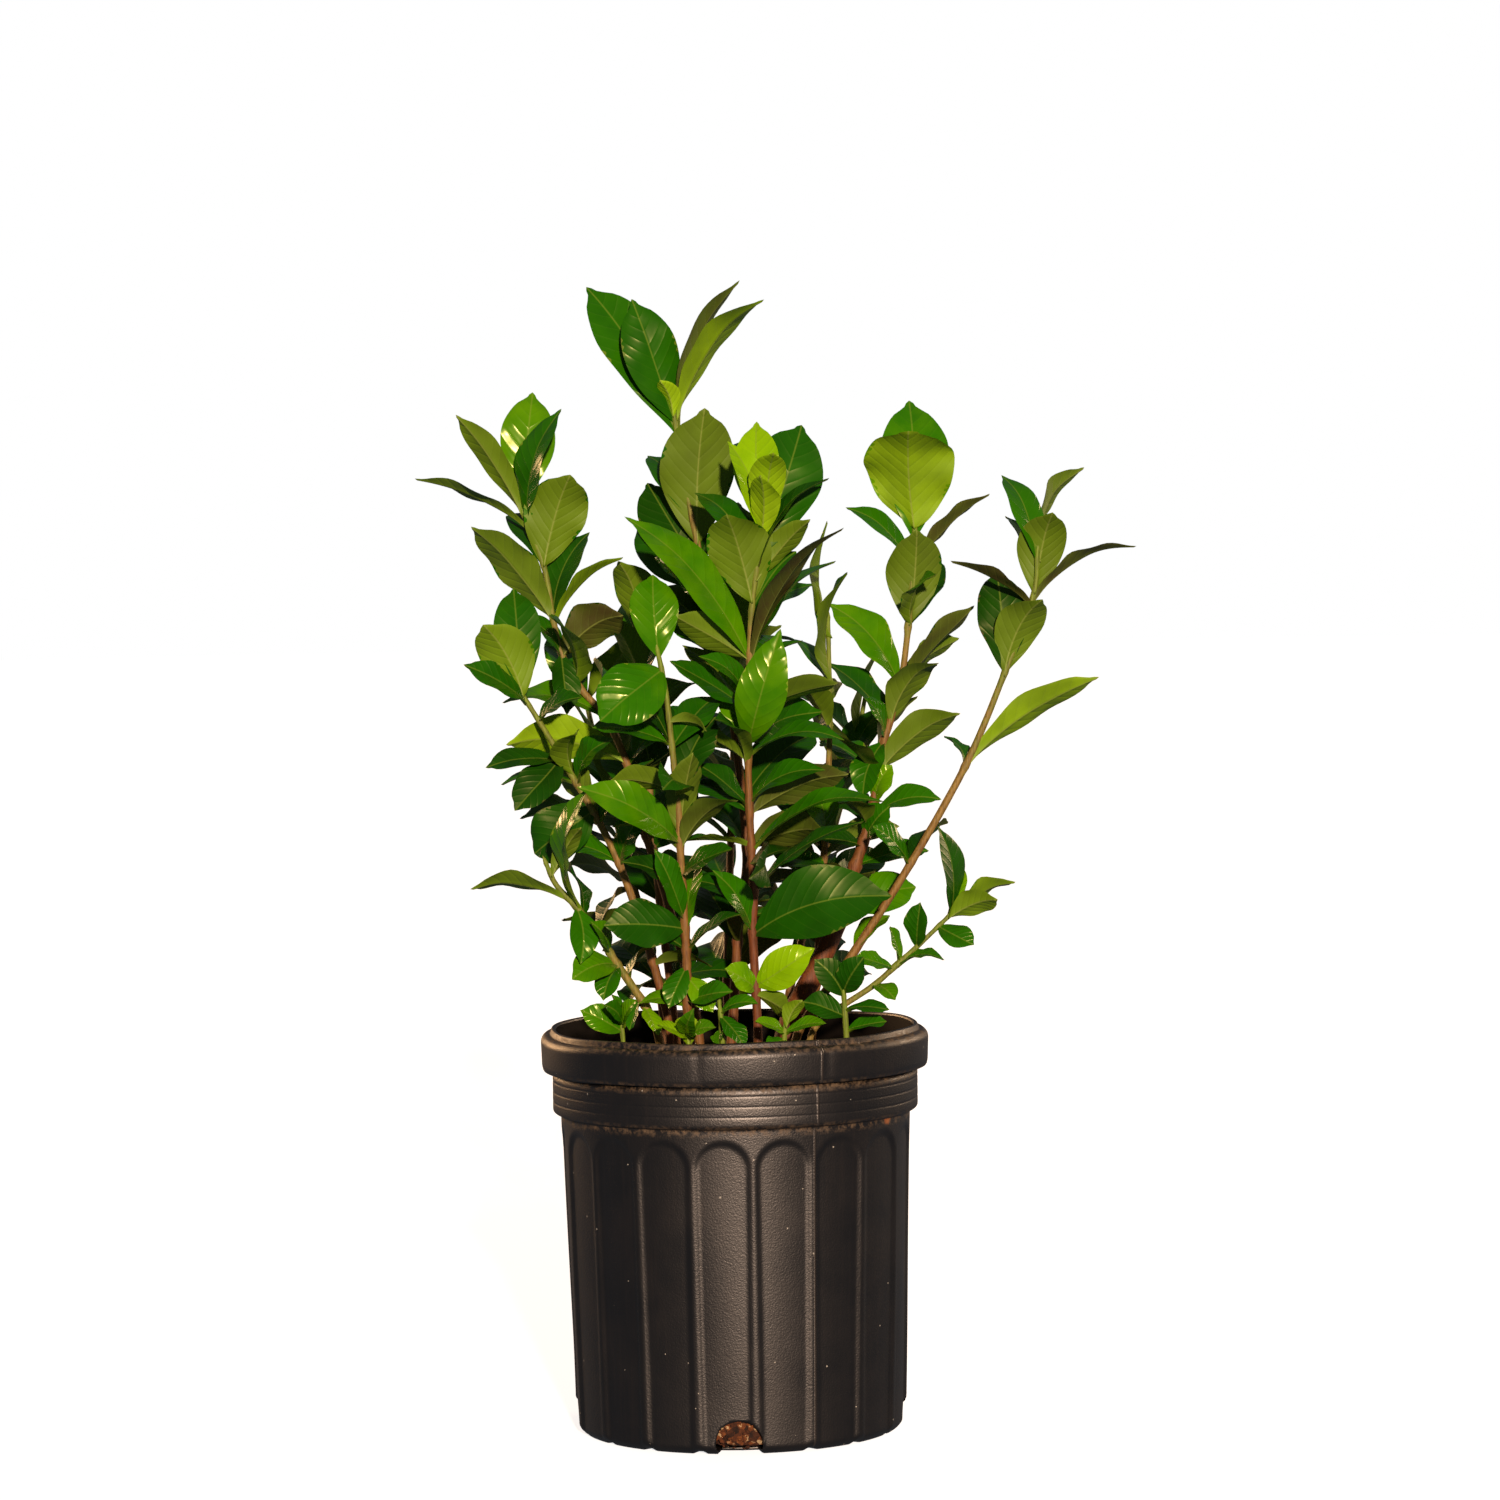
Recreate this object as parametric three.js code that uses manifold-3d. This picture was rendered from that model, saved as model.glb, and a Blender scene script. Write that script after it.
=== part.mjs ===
// A young gardenia shrub in a black fluted nursery pot.
// Millimetres, +Z up, the origin under the middle of the pot, the front towards -Y.
import * as THREE from "three";
import { mergeVertices } from "three/addons/utils/BufferGeometryUtils.js";
import Module from "manifold-3d";

const wasm = await Module();
wasm.setup();

// Driving dimensions of the pot
const RIM_RADIUS = 115; // outer edge of the rolled rim, 230 mm across
const RIM_BOTTOM = 215;
const POT_HEIGHT = 240; // top of the raised inner lip
const LIP_RADIUS = 109;
const BAND_RADIUS = 108.6; // the band below the rim
const BAND_BOTTOM = 190;
const BODY_TOP_RADIUS = 103.9;
const BODY_BOTTOM_RADIUS = 98.4;
const CORNER_RADIUS = 6; // where the wall rolls in to the base
const FOOT_RADIUS = BODY_BOTTOM_RADIUS - CORNER_RADIUS;
const BASE_THICKNESS = 2.4;
const WALL_THICKNESS = 3.2;
const ROUND_SIDES = 36; // two facets to each flute pitch
const WALL_REACH = 30; // from the rim's edge in past the wall
const ARC_SEGMENTS = 2; // facets to a quarter of a flute's top or of a drain notch

// The flutes: shallow round-topped panels pressed into the wall
const FLUTE_COUNT = 18;
const FIRST_FLUTE = -4.5; // degrees round from the front
const FLUTE_HALF_WIDTH = 15.6;
const FLUTE_DEPTH = 1.3;
const FLUTE_TOP = 182;
const FLUTE_BOTTOM = 3;

// The drain notches at the foot
const DRAIN_COUNT = 4;
const FIRST_DRAIN = -0.5;
const DRAIN_RADIUS = 14;
const DRAIN_CENTRE_HEIGHT = 6;

// The mix and the plant
const SOIL_HEIGHT = 212;
const SOIL_CROWN = 5; // the mix stands this much higher in the middle
const GAP = 0.3; // running clearance between touching pieces
const SHORTEST_EDGE = 0.1; // shorter ones are closed up where solids are joined
const BURIED = 25; // how deep a cane stands in its hole
const HOLE_CLEARANCE = 0.4;
const HOLE_SIDES = 6;
const CANE_SIDES = 6;
const SHOOT_SIDES = 5;
const THICK_CANE = 3; // canes with a foot thicker than this get more sides
const CANE_STEP = 40; // mm of cane to each section along it
const CURVE_SAMPLES = 200;

// The leaves
const RIB_THICKNESS = 1.4; // blades are thickest along the midrib
const STALK_THICKNESS = 1;
const STALK_HALF_WIDTH = 0.9;
const STALK_LENGTH = 5;
const ROOT_SCALE = 0.6; // the stalk's slimmer root stays inside the thinnest shoots
const BLADE_FOLD = 0.22; // how far the halves rise from the midrib
const BLADE_BOW = 0.09; // how far the midrib arches, as a share of its length
const WIDEST_SHIFT = 1.2; // above 1, the blade is widest past its middle
const SIDE_FULLNESS = 0.8; // below 1, the sides are fuller than a sine's
const LARGE_LEAF = 72; // blades get another row of points past these lengths
const TINY_LEAF = 36;
const LARGE_STATIONS = [0.3, 0.56, 0.82];
const USUAL_STATIONS = [0.38, 0.74];
const TINY_STATIONS = [0.54];
const PAIRED_STATIONS = [0.5]; // for the many small blades inside the bush

// What the draws vary from leaf to leaf: each is the least value and the spread above it
const BOW_DRAW = [0.4, 1.2]; // share of the usual bow
const LENGTH_DRAW = [0.85, 0.45]; // share of a pair's usual length
const HEADING_DRAW = [-15, 30]; // degrees
const RISE_DRAW = [-20, 46]; // degrees
const TURN_DRAW = [-0.8, 1.6]; // radians
const LOWEST_RISE = 0.4; // share of a run's rise that its lowest pair has
const TOP_RISE = 1.5;
const PAIR_WIDTH = 0.46; // width of a paired leaf, as a share of its length

// How leaves are bent clear of each other
const SAMPLE_STEP = 5;
const LEAF_CLEARANCE = 4.5;
const CANE_CLEARANCE = 3.5;
const OWN_CLEARANCE = 3;
const POT_CLEARANCE = 3;
const OUTER_SHARE = 0.4; // leaves of one cane may crowd only inside this share
const PAIRED_OUTER_SHARE = 0.25;
const BENDS = [0, 7, -7, 14, -14, 21, -21, 29, -29, 38, -38, 48, -48];
const SEED = 4711;

const COLOURS = {
  pot: [0x1a1613, 0.55],
  soil: [0x3a2416, 0.95],
  leaves: [0x2a7a08, 0.35],
};

// One cane or sprig: its route as [x, y, z, radius] from the soil up
const cane = (name, route, leaves, pairs = []) => ({ name, route, leaves, pairs });
// One leaf: the height on the cane where it grows, how far its point lies from there,
// its width, and its turn: 0 shows its upper side to the front, 90 lies upper side up,
// 180 shows its underside to the front
const leaf = (height, reach, width, turn) => ({ height, reach, width, turn });
// A run of opposite pairs, each pair turned a quarter from the one below
const pairs = (from, to, step, length, heading, rise) => ({ from, to, step, length, heading, rise });

const CANES = [
  cane("cane_low_left", [
    [-42, -40, 220, 2.8], [-45, -41, 241, 2.6], [-51, -42, 255, 2.4], [-67, -44, 280, 2.2],
    [-78, -46, 298, 2], [-89, -48, 313, 1.8], [-102, -49, 328, 1.6], [-107, -50, 339, 1.3],
  ], [
    leaf(322, [-54, -10, 11], 24, 112),
    leaf(334, [18, -12, 30], 15, 150),
    leaf(313, [2, -10, 73], 26, 68),
    leaf(315, [3, -16, -31], 18, 20),
    leaf(281, [-26, -20, -7], 22, 40),
    leaf(288, [-9, -14, 20], 14, 60),
    leaf(280, [-9, -16, -18], 16, 30),
    leaf(261, [-6, -16, -19], 12, 60),
    leaf(256, [8, -18, -15], 12, 40),
    leaf(298, [14, 30, 26], 22, 80),
    leaf(310, [-12, 36, 28], 22, 80),
    leaf(272, [14, 22, 20], 17, 80),
  ]),
  cane("cane_front_left", [
    [-26, -52, 220, 2.7], [-27, -54, 238, 2.6], [-27, -55, 256, 2.5], [-27, -56, 291, 2.4],
    [-29, -57, 339, 2.2], [-30, -58, 374, 2], [-33, -58, 407, 1.8], [-36, -59, 440, 1.6],
    [-40, -60, 462, 1.3],
  ], [
    leaf(453, [-35, -24, -26], 38, 18),
    leaf(460, [-3, 14, 48], 29, 8),
    leaf(424, [23, -12, -5], 13, 130),
    leaf(408, [26, 20, 30], 26, 40),
    leaf(408, [-24, 24, 34], 26, 60),
    leaf(383, [-40, -16, 8], 22, 132),
    leaf(382, [22, 14, 44], 26, 30),
    leaf(352, [-55, -14, 37], 27, 40),
    leaf(356, [9, -16, 49], 24, 150),
    leaf(334, [30, -26, 16], 22, 60),
    leaf(326, [-34, -12, 18], 20, 60),
    leaf(307, [-15, -12, 43], 20, 50),
    leaf(300, [9, -14, 46], 22, 48),
    leaf(302, [-46, -22, 5], 30, 28),
    leaf(280, [-11, -14, -22], 15, 20),
    leaf(274, [15, -16, -20], 15, 20),
    leaf(257, [-28, -14, 3], 15, 55),
    leaf(260, [26, -16, 8], 16, 55),
  ], [pairs(290, 434, 30, 46, 80, 22)]),
  cane("cane_tall", [
    [-3, 8, 220, 3], [-1, 8, 238, 2.9], [4, 9, 303, 2.8], [9, 10, 338, 2.6], [5, 11, 397, 2.4],
    [-4, 12, 463, 2.1], [-15, 13, 516, 1.9], [-24, 12, 564, 1.7], [-30, 12, 607, 1.4],
  ], [
    leaf(590, [-53, 26, 90], 36, 18),
    leaf(597, [-23, -6, 74], 35, 12),
    leaf(592, [34, 6, 91], 28, 108),
    leaf(600, [50, -20, 72], 30, 118),
    leaf(602, [-8, -16, 20], 13, 150),
    leaf(525, [6, -20, 80], 46, 172),
    leaf(504, [-34, 26, 58], 38, 14),
    leaf(544, [40, 12, 50], 26, 60),
    leaf(540, [-26, 16, 40], 26, 30),
    leaf(496, [-42, 20, 44], 32, 20),
    leaf(494, [32, 26, 50], 30, 20),
    leaf(466, [-36, 14, 34], 28, 40),
    leaf(464, [34, 22, 32], 26, 40),
  ], [pairs(288, 510, 28, 58, 35, 30)]),
  cane("cane_centre", [
    [13, -34, 220, 2.8], [14, -34, 238, 2.7], [12, -35, 297, 2.5], [13, -36, 320, 2.4],
    [12, -36, 344, 2.3], [11, -37, 397, 2.1], [13, -38, 456, 1.9], [15, -39, 490, 1.7],
    [22, -40, 534, 1.4],
  ], [
    leaf(534, [-2, 16, 64], 27, 6),
    leaf(529, [-16, 6, 57], 20, 30),
    leaf(533, [6, -14, 48], 22, 168),
    leaf(526, [0, -24, 38], 19, 160),
    leaf(518, [27, 32, 72], 42, 12),
    leaf(510, [38, 10, 56], 22, 68),
    leaf(504, [32, -16, 36], 18, 150),
    leaf(508, [-34, 20, 50], 24, 36),
    leaf(491, [-14, -20, 53], 38, 172),
    leaf(486, [26, 16, 36], 26, 30),
    leaf(457, [-68, -18, 87], 32, 42),
    leaf(459, [53, -14, 77], 28, 116),
    leaf(461, [46, 10, 58], 26, 68),
    leaf(434, [30, -10, 36], 18, 70),
    leaf(432, [-26, -18, 30], 22, 60),
    leaf(406, [-14, -6, 50], 22, 14),
    leaf(407, [15, -28, 62], 29, 12),
    leaf(404, [4, -24, 28], 10, 150),
    leaf(402, [56, -8, 10], 20, 72),
    leaf(400, [-38, -14, 20], 22, 120),
    leaf(374, [44, -14, 20], 22, 60),
    leaf(372, [-30, 4, 26], 20, 60),
    leaf(350, [-41, -18, 3], 19, 98),
    leaf(346, [74, -8, 35], 22, 76),
    leaf(322, [65, -4, 40], 20, 74),
    leaf(296, [80, -26, 24], 44, 20),
    leaf(298, [-20, -16, 38], 20, 50),
    leaf(266, [33, -18, 23], 24, 20),
    leaf(264, [-18, -18, 14], 18, 40),
    leaf(262, [20, -20, -11], 15, 150),
  ], [pairs(308, 474, 30, 48, 60, 22)]),
  cane("cane_far_right", [
    [36, -12, 220, 2.7], [40, -12, 240, 2.6], [71, -10, 282, 2.5], [105, -8, 333, 2.3],
    [140, -6, 393, 2.1], [163, -4, 445, 1.8], [181, -2, 491, 1.5], [184, -2, 516, 1.2],
  ], [
    leaf(493, [10, -14, 49], 30, 170),
    leaf(490, [59, -6, 34], 22, 108),
    leaf(488, [-48, -22, 26], 20, 98),
    leaf(494, [-15, 14, 44], 22, 40),
    leaf(512, [-17, 10, 53], 24, 38),
    leaf(512, [26, -2, 57], 22, 102),
    leaf(446, [-3, 14, 61], 31, 8),
    leaf(445, [22, -16, 46], 28, 168),
    leaf(393, [79, -12, 49], 24, 136),
    leaf(392, [-12, 26, 16], 14, 70),
    leaf(334, [22, 30, 26], 24, 70),
    leaf(334, [-22, -14, 24], 20, 60),
    leaf(283, [22, 14, 20], 18, 60),
  ]),
  cane("trunk_right", [
    [30, 18, 220, 7.4], [32, 18, 236, 6.8], [44, 19, 261, 6.2], [58, 21, 287, 5.2],
    [71, 24, 324, 3.6], [84, 26, 361, 2.7], [88, 27, 385, 2.5], [93, 28, 408, 2.3],
    [102, 29, 436, 2.1], [108, 30, 474, 1.9], [113, 30, 534, 1.5],
  ], [
    leaf(525, [0, 26, 86], 41, 6),
    leaf(533, [-3, -22, 60], 54, 168),
    leaf(509, [-37, 6, 39], 20, 60),
    leaf(512, [44, -4, 43], 18, 118),
    leaf(475, [5, -16, 57], 35, 170),
    leaf(474, [20, 26, 40], 28, 30),
    leaf(438, [-41, 4, 51], 28, 42),
    leaf(437, [46, -8, 48], 24, 112),
    leaf(408, [-12, -16, 24], 20, 60),
    leaf(406, [-15, -20, -32], 20, 30),
    leaf(388, [48, -14, 37], 25, 148),
    leaf(386, [-34, 16, 20], 24, 60),
    leaf(370, [10, -14, 22], 18, 40),
    leaf(360, [42, -10, 11], 20, 60),
    leaf(348, [14, -16, 20], 20, 40),
    leaf(344, [-27, -10, 5], 18, 60),
    leaf(332, [44, 4, 10], 22, 60),
    leaf(308, [44, -14, 12], 28, 30),
    leaf(304, [-26, -12, 26], 22, 50),
  ], [pairs(296, 494, 30, 54, 15, 30)]),
  cane("cane_high_left", [
    [-20, -10, 220, 2.8], [-24, -10, 256, 2.7], [-38, -9, 314, 2.6], [-51, -8, 357, 2.4],
    [-61, -6, 397, 2.2], [-73, -4, 424, 2.1], [-88, -2, 442, 2], [-98, 0, 461, 1.9],
    [-103, 2, 483, 1.8], [-108, 4, 514, 1.6], [-121, 6, 549, 1.3],
  ], [
    leaf(538, [-66, -4, 30], 22, 104),
    leaf(545, [-37, -14, 60], 20, 142),
    leaf(549, [8, 24, 66], 32, 6),
    leaf(540, [18, -14, 67], 28, 52),
    leaf(514, [17, -16, 55], 38, 170),
    leaf(514, [-20, 28, 34], 26, 30),
    leaf(483, [-45, -14, 57], 32, 142),
    leaf(484, [22, 12, 50], 26, 40),
    leaf(482, [40, -4, 39], 22, 98),
    leaf(461, [37, -16, 25], 30, 152),
    leaf(460, [-22, -4, 25], 20, 60),
    leaf(462, [4, -16, -35], 19, 26),
    leaf(442, [-20, 30, 24], 26, 60),
    leaf(424, [-61, -12, 9], 26, 60),
    leaf(423, [34, -10, 30], 24, 40),
    leaf(398, [-70, -22, 14], 32, 146),
    leaf(396, [34, 10, 34], 24, 50),
  ], [pairs(294, 454, 30, 54, 60, 30)]),
  cane("cane_mid_left", [
    [-38, -22, 220, 2.6], [-41, -23, 256, 2.5], [-66, -26, 339, 2.2], [-97, -30, 399, 1.8],
    [-121, -32, 440, 1.3],
  ], [
    leaf(438, [-22, -14, 44], 33, 172),
    leaf(438, [-5, 14, 65], 28, 10),
    leaf(434, [-36, -6, 24], 20, 56),
    leaf(424, [26, -12, 14], 20, 60),
    leaf(400, [-45, -10, -2], 20, 60),
    leaf(402, [-27, -22, -28], 26, 28),
    leaf(388, [-44, 10, 2], 20, 80),
    leaf(386, [20, -14, 28], 22, 60),
    leaf(370, [-36, -18, -24], 36, 22),
    leaf(364, [22, -12, 26], 24, 60),
    leaf(340, [-36, -6, 12], 22, 60),
    leaf(338, [14, -14, 30], 22, 50),
  ], [pairs(280, 424, 28, 46, 20, 22)]),
  cane("cane_low_right", [
    [44, -40, 220, 2], [48, -40, 242, 1.9], [81, -42, 265, 1.7], [95, -43, 277, 1.6],
    [112, -44, 292, 1.4], [130, -45, 309, 1.1],
  ], [
    leaf(307, [-6, -6, 52], 22, 50),
    leaf(307, [8, 8, 27], 12, 20),
    leaf(307, [36, -6, 22], 18, 120),
    leaf(306, [28, -16, 12], 20, 150),
    leaf(300, [20, -14, -10], 17, 40),
    leaf(288, [2, -12, 27], 17, 40),
    leaf(280, [-7, -8, 21], 12, 60),
    leaf(278, [27, -12, 4], 14, 70),
    leaf(276, [-22, -8, 8], 14, 60),
    leaf(266, [12, -16, -8], 13, 50),
  ]),
  cane("cane_inner_left", [
    [-34, 16, 220, 2.5], [-38, 18, 264, 2.4], [-46, 22, 344, 2.1], [-50, 24, 424, 1.7],
    [-54, 26, 488, 1.3],
  ], [
    leaf(344, [26, -22, 42], 24, 24),
    leaf(380, [-8, -24, 40], 26, 30),
  ], [pairs(260, 484, 26, 56, 20, 36)]),
  cane("cane_inner_right", [
    [46, 44, 220, 2.5], [50, 42, 264, 2.4], [56, 34, 344, 2.1], [60, 24, 414, 1.7],
    [60, 20, 478, 1.3],
  ], [
    leaf(350, [-8, -30, 36], 24, 30),
    leaf(310, [-16, -30, 32], 24, 24),
  ], [pairs(260, 474, 26, 56, -30, 36)]),
  cane("cane_back", [
    [-4, 52, 220, 2.6], [-4, 58, 264, 2.5], [0, 82, 354, 2.2], [4, 102, 444, 1.8],
    [6, 112, 516, 1.3],
  ], [], [pairs(262, 512, 28, 58, 10, 40)]),
  cane("cane_back_left", [
    [-42, 46, 220, 2.6], [-46, 50, 264, 2.5], [-64, 76, 334, 2.1], [-82, 102, 404, 1.7],
    [-92, 116, 450, 1.3],
  ], [], [pairs(262, 446, 28, 56, 40, 36)]),
  cane("cane_back_right", [
    [30, 60, 220, 2.6], [36, 66, 264, 2.5], [58, 92, 334, 2.1], [76, 116, 394, 1.7],
    [84, 126, 430, 1.3],
  ], [], [pairs(262, 426, 28, 54, -40, 36)]),
  cane("sprig_left", [[-64, -46, 220, 1.5], [-65, -48, 238, 1.3], [-66, -49, 250, 1]], [
    leaf(242, [-23, -8, 14], 17, 30),
    leaf(244, [9, -8, 18], 12, 60),
    leaf(248, [-4, -6, 16], 10, 60),
    leaf(246, [-10, 14, 14], 12, 60),
  ]),
  cane("sprig_front_left", [[-26, -74, 220, 1.5], [-26, -76, 236, 1.3], [-26, -77, 244, 1]], [
    leaf(236, [-3, -6, 18], 14, 170),
    leaf(240, [-18, -4, 10], 12, 60),
    leaf(240, [16, -6, 8], 12, 60),
    leaf(242, [2, 12, 16], 12, 20),
  ]),
  cane("sprig_front", [[-6, -66, 220, 1.7], [-7, -68, 244, 1.5], [-8, -69, 258, 1.1]], [
    leaf(254, [22, -8, 6], 14, 60),
    leaf(252, [14, -14, -16], 14, 40),
    leaf(244, [-2, -18, -8], 12, 60),
  ]),
  cane("sprig_front_right", [[28, -70, 220, 1.6], [29, -72, 236, 1.4], [30, -73, 248, 1.1]], [
    leaf(242, [24, -8, 6], 13, 60),
    leaf(242, [-17, -8, 8], 13, 60),
    leaf(246, [10, -8, 16], 12, 150),
    leaf(238, [-8, -14, -4], 12, 40),
  ]),
  cane("sprig_right", [[66, -60, 220, 1.8], [65, -62, 244, 1.6], [64, -64, 266, 1.2]], [
    leaf(262, [-16, -8, 22], 18, 20),
    leaf(264, [12, -10, 22], 18, 20),
    leaf(254, [26, -6, -1], 14, 70),
    leaf(250, [-24, -6, 10], 18, 40),
    leaf(242, [24, 4, 4], 14, 70),
  ]),
  cane("sprig_back", [[-6, 84, 220, 1.6], [-7, 88, 240, 1.4], [-8, 90, 260, 1.1]], [], [
    pairs(238, 258, 10, 26, 30, 20),
  ]),
];

// Repeatable draws between 0 and 1
let drawState = SEED;
function draw() {
  drawState = (drawState * 16807) % 2147483647;
  return drawState / 2147483647;
}

const drawn = ([least, spread]) => least + spread * draw();

const radians = (degrees) => (degrees * Math.PI) / 180;
const vector = (values) => new THREE.Vector3(values[0], values[1], values[2]);

// Solids, cut and joined

function solidOf(geometry) {
  const plain = new THREE.BufferGeometry();
  plain.setAttribute("position", geometry.getAttribute("position"));
  if (geometry.index) plain.setIndex(geometry.index);
  const merged = mergeVertices(plain, 1e-4);
  return new wasm.Manifold(new wasm.Mesh({
    numProp: 3,
    vertProperties: new Float32Array(merged.getAttribute("position").array),
    triVerts: new Uint32Array(merged.index.array),
  }));
}

function meshOf(name, solid, [colour, roughness]) {
  const data = solid.simplify(SHORTEST_EDGE).getMesh();
  const geometry = new THREE.BufferGeometry();
  geometry.setAttribute("position", new THREE.BufferAttribute(data.vertProperties, 3));
  geometry.setIndex(new THREE.BufferAttribute(data.triVerts, 1));
  geometry.computeVertexNormals();
  const material = new THREE.MeshStandardMaterial({ color: colour, roughness, metalness: 0 });
  const mesh = new THREE.Mesh(geometry, material);
  mesh.name = name;
  return mesh;
}

// A solid of revolution about Z, its facets lined up with the flutes
function turned(profile) {
  const points = profile.map(([radius, height]) => new THREE.Vector2(radius, height));
  const geometry = new THREE.LatheGeometry(points, ROUND_SIDES, radians(FIRST_FLUTE));
  return solidOf(geometry.rotateX(Math.PI / 2));
}

// Pot

function cornerArc(inset) {
  const radius = CORNER_RADIUS - inset;
  return [0, 30, 60, 90].map((angle) => [
    FOOT_RADIUS + radius * Math.sin(radians(angle)),
    CORNER_RADIUS - radius * Math.cos(radians(angle)),
  ]);
}

function potProfile() {
  const outside = [
    [0, 0],
    ...cornerArc(0),
    [BODY_TOP_RADIUS, BAND_BOTTOM - 1],
    [BAND_RADIUS, BAND_BOTTOM + 2.5],
    [BAND_RADIUS, RIM_BOTTOM],
    [RIM_RADIUS, RIM_BOTTOM + 4],
    [RIM_RADIUS, POT_HEIGHT - 9],
    [RIM_RADIUS - 3, POT_HEIGHT - 4],
    [LIP_RADIUS, POT_HEIGHT - 2.5],
    [LIP_RADIUS - 0.6, POT_HEIGHT],
  ];
  const inside = [
    [LIP_RADIUS - 2.6, POT_HEIGHT],
    [BAND_RADIUS - WALL_THICKNESS, RIM_BOTTOM],
    [BODY_TOP_RADIUS - WALL_THICKNESS, BAND_BOTTOM],
    [BODY_BOTTOM_RADIUS - WALL_THICKNESS, CORNER_RADIUS],
    [FOOT_RADIUS, BASE_THICKNESS],
    [0, BASE_THICKNESS],
  ];
  return [...outside, ...inside];
}

// An upright outline at one bearing, reaching inwards from just outside the rim
function radialBlock(shape, bearing) {
  const depth = WALL_REACH;
  const block = new THREE.ExtrudeGeometry(shape, { depth, bevelEnabled: false, curveSegments: ARC_SEGMENTS });
  block.rotateX(Math.PI / 2);
  block.translate(0, depth - RIM_RADIUS, 0);
  block.rotateZ(radians(bearing));
  return solidOf(block);
}

function fluteShape() {
  const shape = new THREE.Shape();
  const spring = FLUTE_TOP - FLUTE_HALF_WIDTH;
  const foot = FLUTE_HALF_WIDTH * (BODY_BOTTOM_RADIUS / BODY_TOP_RADIUS);
  shape.moveTo(-foot, FLUTE_BOTTOM);
  shape.lineTo(foot, FLUTE_BOTTOM);
  shape.lineTo(FLUTE_HALF_WIDTH, spring);
  shape.absarc(0, spring, FLUTE_HALF_WIDTH, 0, Math.PI, false);
  return shape;
}

// The ring of air that the flutes take out of the wall
function fluteSkin() {
  const arc = cornerArc(FLUTE_DEPTH).slice(2);
  return turned([
    arc[0],
    [RIM_RADIUS, arc[0][1]],
    [RIM_RADIUS, BAND_BOTTOM],
    [BODY_TOP_RADIUS - FLUTE_DEPTH, BAND_BOTTOM],
    ...arc.reverse(),
  ]);
}

function makePot() {
  let pot = turned(potProfile());
  const skin = fluteSkin();
  for (let k = 0; k < FLUTE_COUNT; k += 1) {
    const bearing = FIRST_FLUTE + (360 / FLUTE_COUNT) * k;
    const panel = radialBlock(fluteShape(), bearing);
    pot = pot.subtract(panel.intersect(skin));
  }
  const drain = new THREE.Shape();
  drain.absarc(0, DRAIN_CENTRE_HEIGHT, DRAIN_RADIUS, 0, 2 * Math.PI, false);
  for (let k = 0; k < DRAIN_COUNT; k += 1) {
    const bearing = FIRST_DRAIN + (360 / DRAIN_COUNT) * k;
    pot = pot.subtract(radialBlock(drain, bearing));
  }
  return meshOf("pot", pot, COLOURS.pot);
}

// Canes

function caneCurve({ route }) {
  const [x, y] = route[0];
  const foot = new THREE.Vector3(x, y, SOIL_HEIGHT - BURIED);
  return new THREE.CatmullRomCurve3([foot, ...route.map(vector)], false, "catmullrom", 0.5);
}

// Points of the centre line, with the radius there
function caneLine(one) {
  const curve = caneCurve(one);
  const radii = [one.route[0][3], ...one.route.map((point) => point[3])];
  return Array.from({ length: CURVE_SAMPLES + 1 }, (_, k) => {
    const along = (k / CURVE_SAMPLES) * (radii.length - 1);
    const low = Math.min(Math.floor(along), radii.length - 2);
    const radius = THREE.MathUtils.lerp(radii[low], radii[low + 1], along - low);
    return { point: curve.getPoint(k / CURVE_SAMPLES), radius };
  });
}

function pointAtHeight(line, height) {
  const above = line.findIndex(({ point }) => point.z >= height);
  if (above < 1) return line[above < 0 ? line.length - 1 : 0].point.clone();
  const low = line[above - 1].point;
  const high = line[above].point;
  return low.clone().lerp(high, (height - low.z) / (high.z - low.z));
}

function caneSolid(one) {
  const curve = caneCurve(one);
  const steps = Math.max(3, Math.ceil(curve.getLength() / CANE_STEP));
  const sides = one.route[0][3] > THICK_CANE ? CANE_SIDES + 2 : SHOOT_SIDES;
  const section = new THREE.Shape();
  for (let k = 0; k < sides; k += 1) {
    const angle = (2 * Math.PI * k) / sides;
    const place = [Math.cos(angle), Math.sin(angle)];
    if (k === 0) section.moveTo(...place);
    else section.lineTo(...place);
  }
  const geometry = new THREE.ExtrudeGeometry(section, { steps, extrudePath: curve, bevelEnabled: false });
  const rings = curve.getSpacedPoints(steps);
  const line = caneLine(one);
  const corner = new THREE.Vector3();
  const position = geometry.getAttribute("position");
  for (let k = 0; k < position.count; k += 1) {
    corner.fromBufferAttribute(position, k);
    const centre = nearest(rings, corner);
    const radius = nearest(line.map(({ point }) => point), centre, line).radius;
    corner.sub(centre).multiplyScalar(radius).add(centre);
    position.setXYZ(k, corner.x, corner.y, corner.z);
  }
  return solidOf(geometry);
}

function nearest(points, place, values = points) {
  let best = 0;
  points.forEach((point, k) => {
    if (point.distanceToSquared(place) < points[best].distanceToSquared(place)) best = k;
  });
  return values[best];
}

// Leaves

// How wide the blade is along its length: a wedge foot, widest past the middle, a drawn-out point
const bladeOutline = (along) => Math.max(0, Math.sin(Math.PI * along ** WIDEST_SHIFT)) ** SIDE_FULLNESS;

// The blade's own directions: along the midrib, out to one side, and out of its upper face
function bladeFrame(reach, turn) {
  const along = reach.clone().normalize();
  const front = new THREE.Vector3(0, -1, 0);
  front.addScaledVector(along, -front.dot(along)).normalize();
  const up = new THREE.Vector3().crossVectors(along, front);
  if (up.z < 0) up.negate();
  const face = front.multiplyScalar(Math.cos(turn)).addScaledVector(up, Math.sin(turn));
  const side = new THREE.Vector3().crossVectors(along, face);
  return { along, side, face };
}

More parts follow.
